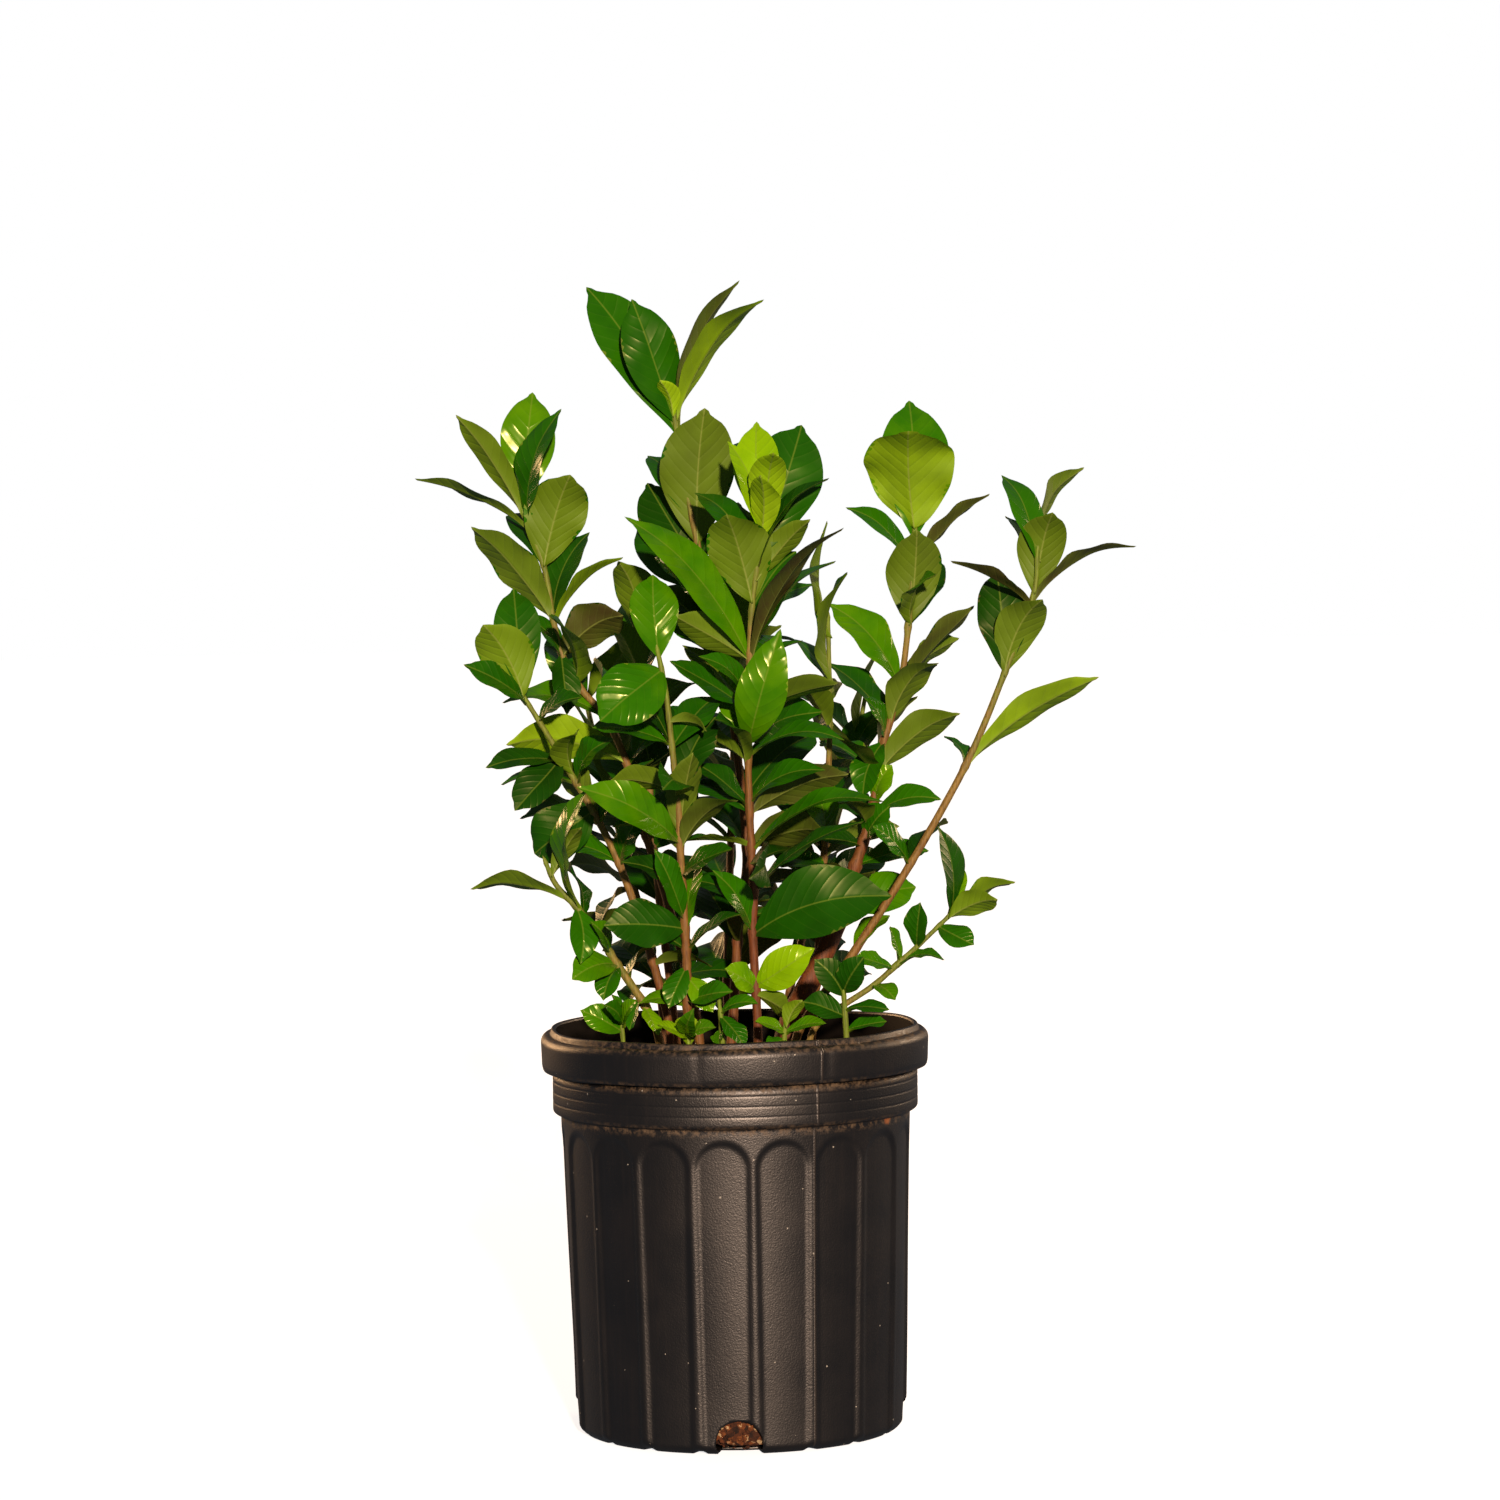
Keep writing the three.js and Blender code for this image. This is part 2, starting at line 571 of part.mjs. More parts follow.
function bladePoint(blade, along, across) {
  const { base, reach, frame, width, bow } = blade;
  const half = 0.5 * width * bladeOutline(along);
  const arch = 4 * bow * reach.length() * along * (1 - along);
  return base.clone()
    .addScaledVector(reach, along)
    .addScaledVector(frame.side, across * half)
    .addScaledVector(frame.face, arch + BLADE_FOLD * half * Math.abs(across));
}

// A closed thin blade. A three-cornered stalk starts on the middle line of the cane, and each row
// across the blade has its two edges and the upper and lower side of the midrib between them
const ROOT_FACE = [0, 2, 1];
const STALK_FACES = [[0, 1, 4], [0, 4, 3], [1, 2, 5], [1, 5, 4], [2, 0, 3], [2, 3, 5]];
const NECK_FACES = [[3, 4, 7], [3, 7, 6], [4, 8, 7], [4, 5, 9], [4, 9, 8], [5, 3, 6], [5, 6, 9]];
const STRIPS = [
  { edge: 0, rib: 1, turnedOver: false },
  { edge: 2, rib: 1, turnedOver: true },
  { edge: 2, rib: 3, turnedOver: false },
  { edge: 0, rib: 3, turnedOver: true },
];

function bladeFaces(rows) {
  const faces = [ROOT_FACE, ...STALK_FACES, ...NECK_FACES];
  const last = 4 * rows + 2;
  for (let near = 6; near < last; near += 4) {
    const far = near + 4;
    STRIPS.forEach(({ edge, rib, turnedOver }) => {
      const split = [[near + edge, near + rib, far + rib], [near + edge, far + rib, far + edge]];
      faces.push(...split.map(([p, q, r]) => (turnedOver ? [p, r, q] : [p, q, r])));
    });
  }
  for (let k = 0; k < 4; k += 1) faces.push([last + k, last + ((k + 1) % 4), last + 4]);
  return faces.flat();
}

function stationsFor(length) {
  if (length > LARGE_LEAF) return LARGE_STATIONS;
  return length > TINY_LEAF ? USUAL_STATIONS : TINY_STATIONS;
}

function bladeSolid(blade) {
  const length = blade.reach.length();
  const stations = blade.paired ? PAIRED_STATIONS : stationsFor(length);
  const { side, face } = blade.frame;
  const stalkRing = (middle, scale) => [[-1, 1], [1, 1], [0, -1]].map(([across, out]) => middle.clone()
    .addScaledVector(side, across * scale * STALK_HALF_WIDTH)
    .addScaledVector(face, 0.5 * out * scale * STALK_THICKNESS));
  const neck = bladePoint(blade, STALK_LENGTH / length, 0);
  const corners = [...stalkRing(blade.base, ROOT_SCALE), ...stalkRing(neck, 1)];
  stations.forEach((along) => {
    const [left, middle, right] = [-1, 0, 1].map((across) => bladePoint(blade, along, across));
    corners.push(left, middle, right, middle.clone().addScaledVector(face, -RIB_THICKNESS));
  });
  corners.push(bladePoint(blade, 1, 0));
  const geometry = new THREE.BufferGeometry().setFromPoints(corners);
  geometry.setIndex(bladeFaces(stations.length));
  return solidOf(geometry);
}

// Bending clear

function bladeSamples(blade) {
  const rows = Math.ceil(blade.reach.length() / SAMPLE_STEP);
  const columns = Math.ceil(blade.width / (2 * SAMPLE_STEP));
  const samples = [];
  for (let row = 0; row <= rows; row += 1) {
    for (let column = -columns; column <= columns; column += 1) {
      const along = row / rows;
      const outer = along >= (blade.paired ? PAIRED_OUTER_SHARE : OUTER_SHARE);
      samples.push({ point: bladePoint(blade, along, column / columns), outer });
    }
  }
  return samples;
}

// The wall and rim of the pot, and the mix, with a little air round them
function meetsPot({ x, y, z }) {
  const radius = Math.hypot(x, y);
  const atWall = z < POT_HEIGHT + POT_CLEARANCE && radius > BODY_TOP_RADIUS - WALL_THICKNESS;
  const atMix = z < SOIL_HEIGHT + SOIL_CROWN + 1;
  return radius < RIM_RADIUS + POT_CLEARANCE && (atWall || atMix);
}

// Which meetings within one cane are let be: a hand-placed leaf's near the stem, and at last all of
// them, and a paired leaf's only at its own foot
const bothNearTips = (sample, other) => sample.outer && other.outer;
const never = () => false;
const pastFoot = (sample) => sample.outer;

function tooClose(sample, owner, taken, counts) {
  return meetsPot(sample.point) || taken.some((other) => {
    if (other.owner === owner && !counts(sample, other)) return false;
    const clearance = other.owner === owner ? OWN_CLEARANCE : other.clearance;
    return sample.point.distanceToSquared(other.point) < clearance ** 2;
  });
}

// The first bend that is clear of all that stands already
function placeBlade(blade, owner, taken, bendBy) {
  for (const counts of blade.paired ? [pastFoot] : [bothNearTips, never]) {
    for (const bend of BENDS) {
      const reach = bendBy(blade.reach, bend);
      const tried = { ...blade, reach, frame: bladeFrame(reach, blade.turn) };
      const samples = bladeSamples(tried);
      if (!samples.some((sample) => tooClose(sample, owner, taken, counts))) {
        samples.forEach((sample) => taken.push({ ...sample, owner, clearance: LEAF_CLEARANCE }));
        return tried;
      }
    }
  }
  return null;
}

// A leaf placed by hand gives way forwards or backwards, a paired leaf round its cane
const bendDeep = (reach, bend) => reach.clone().add(new THREE.Vector3(0, bend, 0));
const bendRound = (reach, bend) => reach.clone().applyAxisAngle(new THREE.Vector3(0, 0, 1), radians(bend));

function handLeaf(line, { height, reach, width, turn }) {
  const bow = BLADE_BOW * drawn(BOW_DRAW);
  return { base: pointAtHeight(line, height), reach: vector(reach), width, turn: radians(turn), bow };
}

function pairedLeaves(line, run) {
  const blades = [];
  let heading = run.heading;
  for (let height = run.from; height <= run.to; height += run.step) {
    const share = (height - run.from) / (run.to - run.from);
    for (const side of [0, 180]) {
      const bearing = radians(heading + side + drawn(HEADING_DRAW));
      const usualRise = run.rise * THREE.MathUtils.lerp(LOWEST_RISE, TOP_RISE, share);
      const rise = radians(usualRise + drawn(RISE_DRAW));
      const length = run.length * drawn(LENGTH_DRAW);
      const flat = new THREE.Vector3(Math.sin(bearing), -Math.cos(bearing), 0);
      const reach = flat.multiplyScalar(length * Math.cos(rise));
      reach.z = length * Math.sin(rise);
      const turn = naturalTurn(reach) + drawn(TURN_DRAW);
      const bow = BLADE_BOW * drawn(BOW_DRAW);
      const base = pointAtHeight(line, height);
      blades.push({ base, reach, width: PAIR_WIDTH * length, turn, bow, paired: true });
    }
    heading += 90;
  }
  return blades;
}

// The turn that lays a leaf with its upper side to the sky
function naturalTurn(reach) {
  const { along, face: front } = bladeFrame(reach, 0);
  const { face: up } = bladeFrame(reach, Math.PI / 2);
  const sky = new THREE.Vector3(0, 0, 1);
  sky.addScaledVector(along, -sky.dot(along));
  return Math.atan2(sky.dot(up), sky.dot(front));
}

function placeLeaves(canes) {
  const lines = canes.map(caneLine);
  const taken = lines.flatMap((line, owner) => line.map(({ point, radius }) => (
    { point, owner, outer: false, clearance: radius + CANE_CLEARANCE })));
  const placed = canes.map(() => []);
  const settle = (blades, owner, bendBy) => blades.forEach((blade) => {
    const clear = placeBlade(blade, owner, taken, bendBy);
    if (clear) placed[owner].push(clear);
  });
  canes.forEach((one, owner) => {
    settle(one.leaves.map((item) => handLeaf(lines[owner], item)), owner, bendDeep);
  });
  canes.forEach((one, owner) => {
    one.pairs.forEach((run) => settle(pairedLeaves(lines[owner], run), owner, bendRound));
  });
  return placed;
}

function makeCane(one, blades) {
  let solid = caneSolid(one);
  blades.forEach((blade) => {
    solid = solid.add(bladeSolid(blade));
  });
  return meshOf(one.name, solid, COLOURS.leaves);
}

// Mix

function caneHole({ route }) {
  const [x, y, , radius] = route[0];
  const depth = BURIED + 2 * SOIL_CROWN;
  const corner = (radius + HOLE_CLEARANCE) / Math.cos(Math.PI / HOLE_SIDES);
  const hole = new THREE.CylinderGeometry(corner, corner, depth, HOLE_SIDES);
  hole.rotateX(Math.PI / 2);
  hole.translate(x, y, SOIL_HEIGHT - BURIED - GAP + depth / 2);
  return solidOf(hole);
}

function makeSoil(canes) {
  const inset = WALL_THICKNESS + GAP;
  let soil = turned([
    [0, BASE_THICKNESS + GAP],
    [FOOT_RADIUS - 1, BASE_THICKNESS + GAP],
    [BODY_BOTTOM_RADIUS - inset, CORNER_RADIUS + GAP],
    [BODY_TOP_RADIUS - inset, BAND_BOTTOM + GAP],
    [BAND_RADIUS - inset - 0.6, SOIL_HEIGHT],
    [0, SOIL_HEIGHT + SOIL_CROWN],
  ]);
  canes.forEach((one) => {
    soil = soil.subtract(caneHole(one));
  });
  return meshOf("soil", soil, COLOURS.soil);
}

const plant = new THREE.Group();
plant.add(makePot(), makeSoil(CANES));
const leavesByCane = placeLeaves(CANES);
CANES.forEach((one, owner) => plant.add(makeCane(one, leavesByCane[owner])));

export default plant;
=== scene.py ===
"""A young gardenia in a black fluted nursery pot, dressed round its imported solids.

Tables and functions work in millimetres, and a mesh is turned to metres as it is made.
"""

import math

import bpy
import numpy as np
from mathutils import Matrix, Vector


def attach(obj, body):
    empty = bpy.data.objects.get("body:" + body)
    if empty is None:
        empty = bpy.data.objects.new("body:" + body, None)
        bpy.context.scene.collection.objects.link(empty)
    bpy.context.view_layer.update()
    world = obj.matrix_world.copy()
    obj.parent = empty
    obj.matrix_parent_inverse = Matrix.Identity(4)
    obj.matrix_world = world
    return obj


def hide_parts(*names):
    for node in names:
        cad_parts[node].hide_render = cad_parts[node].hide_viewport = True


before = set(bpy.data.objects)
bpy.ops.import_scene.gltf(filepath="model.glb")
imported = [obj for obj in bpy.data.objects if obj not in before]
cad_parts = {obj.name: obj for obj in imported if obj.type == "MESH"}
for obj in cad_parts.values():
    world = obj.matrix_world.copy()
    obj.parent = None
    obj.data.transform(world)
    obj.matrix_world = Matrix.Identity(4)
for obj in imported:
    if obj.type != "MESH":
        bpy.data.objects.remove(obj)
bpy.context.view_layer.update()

# The camera that took the photograph, and its slight tilt to one side
CAMERA_PLACE = (0.0122, -3.0, 0.534)
CAMERA_AIM = (0.0122, 0.0, 0.403)
CAMERA_LENS = 121.7
CAMERA_ROLL = -1.0  # degrees

# Pot, as in the source
RIM_RADIUS = 115.0
POT_HEIGHT = 240.0
RIM_BOTTOM = 215.0
BAND_RADIUS = 108.6
BAND_BOTTOM = 190.0
BODY_TOP_RADIUS = 103.9
BODY_BOTTOM_RADIUS = 98.4
CORNER_RADIUS = 6.0
FOOT_RADIUS = BODY_BOTTOM_RADIUS - CORNER_RADIUS
SOLID_WALL = 3.2
FLUTE_COUNT = 18
FIRST_FLUTE = -4.5
FLUTE_HALF_WIDTH = 15.6
FLUTE_TOP = 182.0
DRAIN_COUNT = 4
FIRST_DRAIN = -0.5
DRAIN_RADIUS = 14.0
DRAIN_CENTRE_HEIGHT = 6.0

# Pot, finer than in the source
BODY_COLUMNS = 480
BODY_WALL = 2.0
BAND_GROOVES = (197.0, 203.0, 209.0)
GROOVE_DEPTH = 0.2
FLUTE_DEPTH = 1.6
FOOT_LIFT = 1.9  # how far the foot stands off the floor at the lands
NOTCH_SNAP = 0.85  # points this near a drain notch's edge are moved on to it
SEAM_BEARING = 26.0  # where the halves of the mould met, and again at the back
SLIDE_BEARING = -10.5  # where a slide of the mould met the rim
RIM_COLUMNS = 360
INNER_LIP_RADIUS = 106.6
DUSTY_LEDGES = (0.1885, 0.2135, 0.2365)  # metres up
CLAY_SPOT = (0.0884, -0.0545, 0.1895)  # metres

# Mix and canes, as in the source
SOIL_HEIGHT = 212.0
SOIL_CROWN = 5.0
BURIED = 25.0
CURVE_SAMPLES = 200

# Mix, finer than in the source
MIX_COLUMNS = 240
MIX_BEHIND_WALL = 3.9
MIX_BELOW_SOURCE = 1.5
CRUMB_COUNT = 1500
CRUMBS_IN_DRAINS = 160

# Leaves, as in the source
BLADE_FOLD = 0.22
BLADE_BOW = 0.09
WIDEST_SHIFT = 1.2
SIDE_FULLNESS = 0.8
BOW_DRAW = (0.4, 1.2)
LENGTH_DRAW = (0.85, 0.45)
HEADING_DRAW = (-15.0, 30.0)
RISE_DRAW = (-20.0, 46.0)
TURN_DRAW = (-0.8, 1.6)
LOWEST_RISE = 0.4
TOP_RISE = 1.5
PAIR_WIDTH = 0.46
SAMPLE_STEP = 5.0
LEAF_CLEARANCE = 4.5
CANE_CLEARANCE = 3.5
OWN_CLEARANCE = 3.0
POT_CLEARANCE = 3.0
OUTER_SHARE = 0.4
PAIRED_OUTER_SHARE = 0.25
BENDS = (0, 7, -7, 14, -14, 21, -21, 29, -29, 38, -38, 48, -48)
SEED = 4711

# Leaves, finer than in the source
LOOK_SEED = 309  # for the curl, sweep and tone of each blade, which the source leaves plain
LEAF_COLUMNS = np.array([-1, -0.84, -0.6, -0.32, -0.1, 0, 0.1, 0.32, 0.6, 0.84, 1])
LEAF_THICKNESS = 0.5
MIDRIB_WIDTH = 0.9
MIDRIB_GROOVE = 0.3
MIDRIB_RIDGE = 0.75  # under the leaf, where it leaves the stalk
STALK_RADIUS = 0.8
SWEEP = 0.055  # how far a blade may sweep sideways, as a share of its length
NOD = 0.08  # how far a point nods, as a share of the length
TWIST = 0.45  # radians
MARGIN_ROLL = 0.09  # how far the margins roll down, as a share of half the width
MARGIN_WAVE = 0.1  # the same for their waves
MAP_UNIT = 100.0  # millimetres to one unit of a leaf's map

# How light each kind of leaf is: young, light, bright, green and dark, then four posed kinds:
# bright or green and turned to the sun, green and rolled away from it, and bright and arched
# the dark kind is partly the own dark green of old leaves and partly painted shade, for leaves that stand in
# shade deep in the bush
TONES = {"y": 1.0, "l": 0.78, "b": 0.58, "g": 0.4, "d": 0.12, "s": 0.64, "f": 0.38, "n": 0.4, "a": 0.58}

# The posed kinds' fold and bow, and how far they are raised and rolled to face the sun, as shares
POSED = {"s": (0.06, 0.05, 0.8, 0.8), "f": (0.06, 0.05, 0.4, 0.8), "n": (0.06, 0.05, 0.0, -2.5),
         "a": (0.06, 0.19, 0.25, 0.8)}
SUNLIT_FACING = (0.06, -0.99, 0.12)  # the way a surface faces that throws the light forward

# How brown each cane's foot is, from green to old wood, and how deep its bark is furrowed
CANE_AGES = {
    "cane_low_left": 0.8, "cane_front_left": 0.9, "cane_tall": 0.9, "cane_centre": 1.0, "cane_far_right": 0.6,
    "trunk_right": 1.0, "cane_high_left": 0.75, "cane_mid_left": 0.9, "cane_low_right": 0.7,
}
INNER_AGE = 0.8
SPRIG_AGE = 0.2
TRUNK_FURROWS = 0.15
CANE_FURROWS = 0.03

# Each cane: name, route as (x, y, z, radius), leaves as (height, reach, width, turn, tone),
# and runs of opposite pairs as (from, to, step, length, heading, rise)
CANES = [
    ("cane_low_left",
     [(-42, -40, 220, 2.8), (-45, -41, 241, 2.6), (-51, -42, 255, 2.4), (-67, -44, 280, 2.2),
      (-78, -46, 298, 2), (-89, -48, 313, 1.8), (-102, -49, 328, 1.6), (-107, -50, 339, 1.3)],
     [(322, (-54, -10, 11), 24, 112, "g"), (334, (18, -12, 30), 15, 150, "g"),
      (313, (2, -10, 73), 26, 68, "b"), (315, (3, -16, -31), 18, 20, "g"),
      (281, (-26, -20, -7), 22, 40, "b"), (288, (-9, -14, 20), 14, 60, "b"),
      (280, (-9, -16, -18), 16, 30, "g"), (261, (-6, -16, -19), 12, 60, "g"),
      (256, (8, -18, -15), 12, 40, "l"), (298, (14, 30, 26), 22, 80, "d"), (310, (-12, 36, 28), 22, 80, "d"),
      (272, (14, 22, 20), 17, 80, "g")],
     []),
    ("cane_front_left",
     [(-26, -52, 220, 2.7), (-27, -54, 238, 2.6), (-27, -55, 256, 2.5), (-27, -56, 291, 2.4),
      (-29, -57, 339, 2.2), (-30, -58, 374, 2), (-33, -58, 407, 1.8), (-36, -59, 440, 1.6),
      (-40, -60, 462, 1.3)],
     [(453, (-35, -24, -26), 38, 18, "b"), (460, (-3, 14, 48), 29, 8, "b"),
      (424, (23, -12, -5), 13, 130, "g"), (408, (26, 20, 30), 26, 40, "g"),
      (408, (-24, 24, 34), 26, 60, "d"), (383, (-40, -16, 8), 22, 132, "g"),
      (382, (22, 14, 44), 26, 30, "d"), (352, (-55, -14, 37), 27, 40, "b"),
      (356, (9, -16, 49), 24, 150, "g"), (334, (30, -26, 16), 22, 60, "g"),
      (326, (-34, -12, 18), 20, 60, "d"), (307, (-15, -12, 43), 20, 50, "g"),
      (300, (9, -14, 46), 22, 48, "b"), (302, (-46, -22, 5), 30, 28, "d"),
      (280, (-11, -14, -22), 15, 20, "g"), (274, (15, -16, -20), 15, 20, "l"),
      (257, (-28, -14, 3), 15, 55, "l"), (260, (26, -16, 8), 16, 55, "g")],
     [(290, 434, 30, 46, 80, 22)]),
    ("cane_tall",
     [(-3, 8, 220, 3), (-1, 8, 238, 2.9), (4, 9, 303, 2.8), (9, 10, 338, 2.6), (5, 11, 397, 2.4),
      (-4, 12, 463, 2.1), (-15, 13, 516, 1.9), (-24, 12, 564, 1.7), (-30, 12, 607, 1.4)],
     [(590, (-53, 26, 90), 36, 18, "g"), (597, (-23, -6, 74), 35, 12, "n"), (592, (34, 6, 91), 28, 108, "d"),
      (600, (50, -20, 72), 30, 118, "l"), (602, (-8, -16, 20), 13, 150, "y"),
      (525, (6, -20, 80), 46, 172, "g"), (504, (-34, 26, 58), 38, 14, "d"), (544, (40, 12, 50), 26, 60, "g"),
      (540, (-26, 16, 40), 26, 30, "g"), (496, (-42, 20, 44), 32, 20, "d"), (494, (32, 26, 50), 30, 20, "g"),
      (466, (-36, 14, 34), 28, 40, "d"), (464, (34, 22, 32), 26, 40, "d")],
     [(288, 510, 28, 58, 35, 30)]),
    ("cane_centre",
     [(13, -34, 220, 2.8), (14, -34, 238, 2.7), (12, -35, 297, 2.5), (13, -36, 320, 2.4),
      (12, -36, 344, 2.3), (11, -37, 397, 2.1), (13, -38, 456, 1.9), (15, -39, 490, 1.7),
      (22, -40, 534, 1.4)],
     [(534, (-2, 16, 64), 27, 6, "y"), (529, (-16, 6, 57), 20, 30, "y"), (533, (6, -14, 48), 22, 168, "y"),
      (526, (0, -24, 38), 19, 160, "y"), (518, (27, 32, 72), 42, 12, "f"), (510, (38, 10, 56), 22, 68, "d"),
      (504, (32, -16, 36), 18, 150, "g"), (508, (-34, 20, 50), 24, 36, "g"),
      (491, (-14, -20, 53), 38, 172, "g"), (486, (26, 16, 36), 26, 30, "g"),
      (457, (-68, -18, 87), 32, 42, "b"), (459, (53, -14, 77), 28, 116, "d"),
      (461, (46, 10, 58), 26, 68, "g"), (434, (30, -10, 36), 18, 70, "g"),
      (432, (-26, -18, 30), 22, 60, "g"), (406, (-14, -6, 50), 22, 14, "b"),
      (407, (15, -28, 62), 29, 12, "a"), (404, (4, -24, 28), 10, 150, "y"), (402, (56, -8, 10), 20, 72, "g"),
      (400, (-38, -14, 20), 22, 120, "g"), (374, (44, -14, 20), 22, 60, "g"),
      (372, (-30, 4, 26), 20, 60, "d"), (350, (-41, -18, 3), 19, 98, "g"), (346, (74, -8, 35), 22, 76, "g"),
      (322, (65, -4, 40), 20, 74, "d"), (296, (80, -26, 24), 44, 20, "d"),
      (298, (-20, -16, 38), 20, 50, "g"), (266, (33, -18, 23), 24, 20, "y"),
      (264, (-18, -18, 14), 18, 40, "l"), (262, (20, -20, -11), 15, 150, "g")],
     [(308, 474, 30, 48, 60, 22)]),
    ("cane_far_right",
     [(36, -12, 220, 2.7), (40, -12, 240, 2.6), (71, -10, 282, 2.5), (105, -8, 333, 2.3),
      (140, -6, 393, 2.1), (163, -4, 445, 1.8), (181, -2, 491, 1.5), (184, -2, 516, 1.2)],
     [(493, (10, -14, 49), 30, 170, "g"), (490, (59, -6, 34), 22, 108, "d"),
      (488, (-48, -22, 26), 20, 98, "d"), (494, (-15, 14, 44), 22, 40, "g"),
      (512, (-17, 10, 53), 24, 38, "g"), (512, (26, -2, 57), 22, 102, "g"), (446, (-3, 14, 61), 31, 8, "d"),
      (445, (22, -16, 46), 28, 168, "g"), (393, (79, -12, 49), 24, 136, "l"),
      (392, (-12, 26, 16), 14, 70, "g"), (334, (22, 30, 26), 24, 70, "d"),
      (334, (-22, -14, 24), 20, 60, "g"), (283, (22, 14, 20), 18, 60, "l")],
     []),
    ("trunk_right",
     [(30, 18, 220, 7.4), (32, 18, 236, 6.8), (44, 19, 261, 6.2), (58, 21, 287, 5.2), (71, 24, 324, 3.6),
      (84, 26, 361, 2.7), (88, 27, 385, 2.5), (93, 28, 408, 2.3), (102, 29, 436, 2.1), (108, 30, 474, 1.9),
      (113, 30, 534, 1.5)],
     [(525, (0, 26, 86), 41, 6, "b"), (533, (-3, -22, 60), 54, 168, "l"), (509, (-37, 6, 39), 20, 60, "g"),
      (512, (44, -4, 43), 18, 118, "d"), (475, (5, -16, 57), 35, 170, "g"), (474, (20, 26, 40), 28, 30, "d"),
      (438, (-41, 4, 51), 28, 42, "b"), (437, (46, -8, 48), 24, 112, "d"),
      (408, (-12, -16, 24), 20, 60, "g"), (406, (-15, -20, -32), 20, 30, "g"),
      (388, (48, -14, 37), 25, 148, "g"), (386, (-34, 16, 20), 24, 60, "g"),
      (370, (10, -14, 22), 18, 40, "l"), (360, (42, -10, 11), 20, 60, "g"),
      (348, (14, -16, 20), 20, 40, "g"), (344, (-27, -10, 5), 18, 60, "d"), (332, (44, 4, 10), 22, 60, "g"),
      (308, (44, -14, 12), 28, 30, "b"), (304, (-26, -12, 26), 22, 50, "g")],
     [(296, 494, 30, 54, 15, 30)]),
    ("cane_high_left",
     [(-20, -10, 220, 2.8), (-24, -10, 256, 2.7), (-38, -9, 314, 2.6), (-51, -8, 357, 2.4),
      (-61, -6, 397, 2.2), (-73, -4, 424, 2.1), (-88, -2, 442, 2), (-98, 0, 461, 1.9), (-103, 2, 483, 1.8),
      (-108, 4, 514, 1.6), (-121, 6, 549, 1.3)],
     [(538, (-66, -4, 30), 22, 104, "g"), (545, (-37, -14, 60), 20, 142, "g"),
      (549, (8, 24, 66), 32, 6, "s"), (540, (18, -14, 67), 28, 52, "g"), (514, (17, -16, 55), 38, 170, "g"),
      (514, (-20, 28, 34), 26, 30, "d"), (483, (-45, -14, 57), 32, 142, "g"),
      (484, (22, 12, 50), 26, 40, "d"), (482, (40, -4, 39), 22, 98, "l"), (461, (37, -16, 25), 30, 152, "d"),
      (460, (-22, -4, 25), 20, 60, "g"), (462, (4, -16, -35), 19, 26, "d"),
      (442, (-20, 30, 24), 26, 60, "g"), (424, (-61, -12, 9), 26, 60, "b"),
      (423, (34, -10, 30), 24, 40, "g"), (398, (-70, -22, 14), 32, 146, "l"),
      (396, (34, 10, 34), 24, 50, "g")],
     [(294, 454, 30, 54, 60, 30)]),
    ("cane_mid_left",
     [(-38, -22, 220, 2.6), (-41, -23, 256, 2.5), (-66, -26, 339, 2.2), (-97, -30, 399, 1.8),
      (-121, -32, 440, 1.3)],
     [(438, (-22, -14, 44), 33, 172, "b"), (438, (-5, 14, 65), 28, 10, "g"),
      (434, (-36, -6, 24), 20, 56, "g"), (424, (26, -12, 14), 20, 60, "d"),
      (400, (-45, -10, -2), 20, 60, "d"), (402, (-27, -22, -28), 26, 28, "d"),
      (388, (-44, 10, 2), 20, 80, "g"), (386, (20, -14, 28), 22, 60, "g"),
      (370, (-36, -18, -24), 36, 22, "d"), (364, (22, -12, 26), 24, 60, "g"),
      (340, (-36, -6, 12), 22, 60, "b"), (338, (14, -14, 30), 22, 50, "g")],
     [(280, 424, 28, 46, 20, 22)]),
    ("cane_low_right",
     [(44, -40, 220, 2), (48, -40, 242, 1.9), (81, -42, 265, 1.7), (95, -43, 277, 1.6), (112, -44, 292, 1.4),
      (130, -45, 309, 1.1)],
     [(307, (-6, -6, 52), 22, 50, "d"), (307, (8, 8, 27), 12, 20, "l"), (307, (36, -6, 22), 18, 120, "b"),
      (306, (28, -16, 12), 20, 150, "b"), (300, (20, -14, -10), 17, 40, "g"),
      (288, (2, -12, 27), 17, 40, "g"), (280, (-7, -8, 21), 12, 60, "b"), (278, (27, -12, 4), 14, 70, "b"),
      (276, (-22, -8, 8), 14, 60, "b"), (266, (12, -16, -8), 13, 50, "b")],
     []),
    ("cane_inner_left",
     [(-34, 16, 220, 2.5), (-38, 18, 264, 2.4), (-46, 22, 344, 2.1), (-50, 24, 424, 1.7),
      (-54, 26, 488, 1.3)],
     [(344, (26, -22, 42), 24, 24, "g"), (380, (-8, -24, 40), 26, 30, "d")],
     [(260, 484, 26, 56, 20, 36)]),
    ("cane_inner_right",
     [(46, 44, 220, 2.5), (50, 42, 264, 2.4), (56, 34, 344, 2.1), (60, 24, 414, 1.7), (60, 20, 478, 1.3)],
     [(350, (-8, -30, 36), 24, 30, "b"), (310, (-16, -30, 32), 24, 24, "g")],
     [(260, 474, 26, 56, -30, 36)]),
    ("cane_back",
     [(-4, 52, 220, 2.6), (-4, 58, 264, 2.5), (0, 82, 354, 2.2), (4, 102, 444, 1.8), (6, 112, 516, 1.3)],
     [],
     [(262, 512, 28, 58, 10, 40)]),
    ("cane_back_left",
     [(-42, 46, 220, 2.6), (-46, 50, 264, 2.5), (-64, 76, 334, 2.1), (-82, 102, 404, 1.7),
      (-92, 116, 450, 1.3)],
     [],
     [(262, 446, 28, 56, 40, 36)]),
    ("cane_back_right",
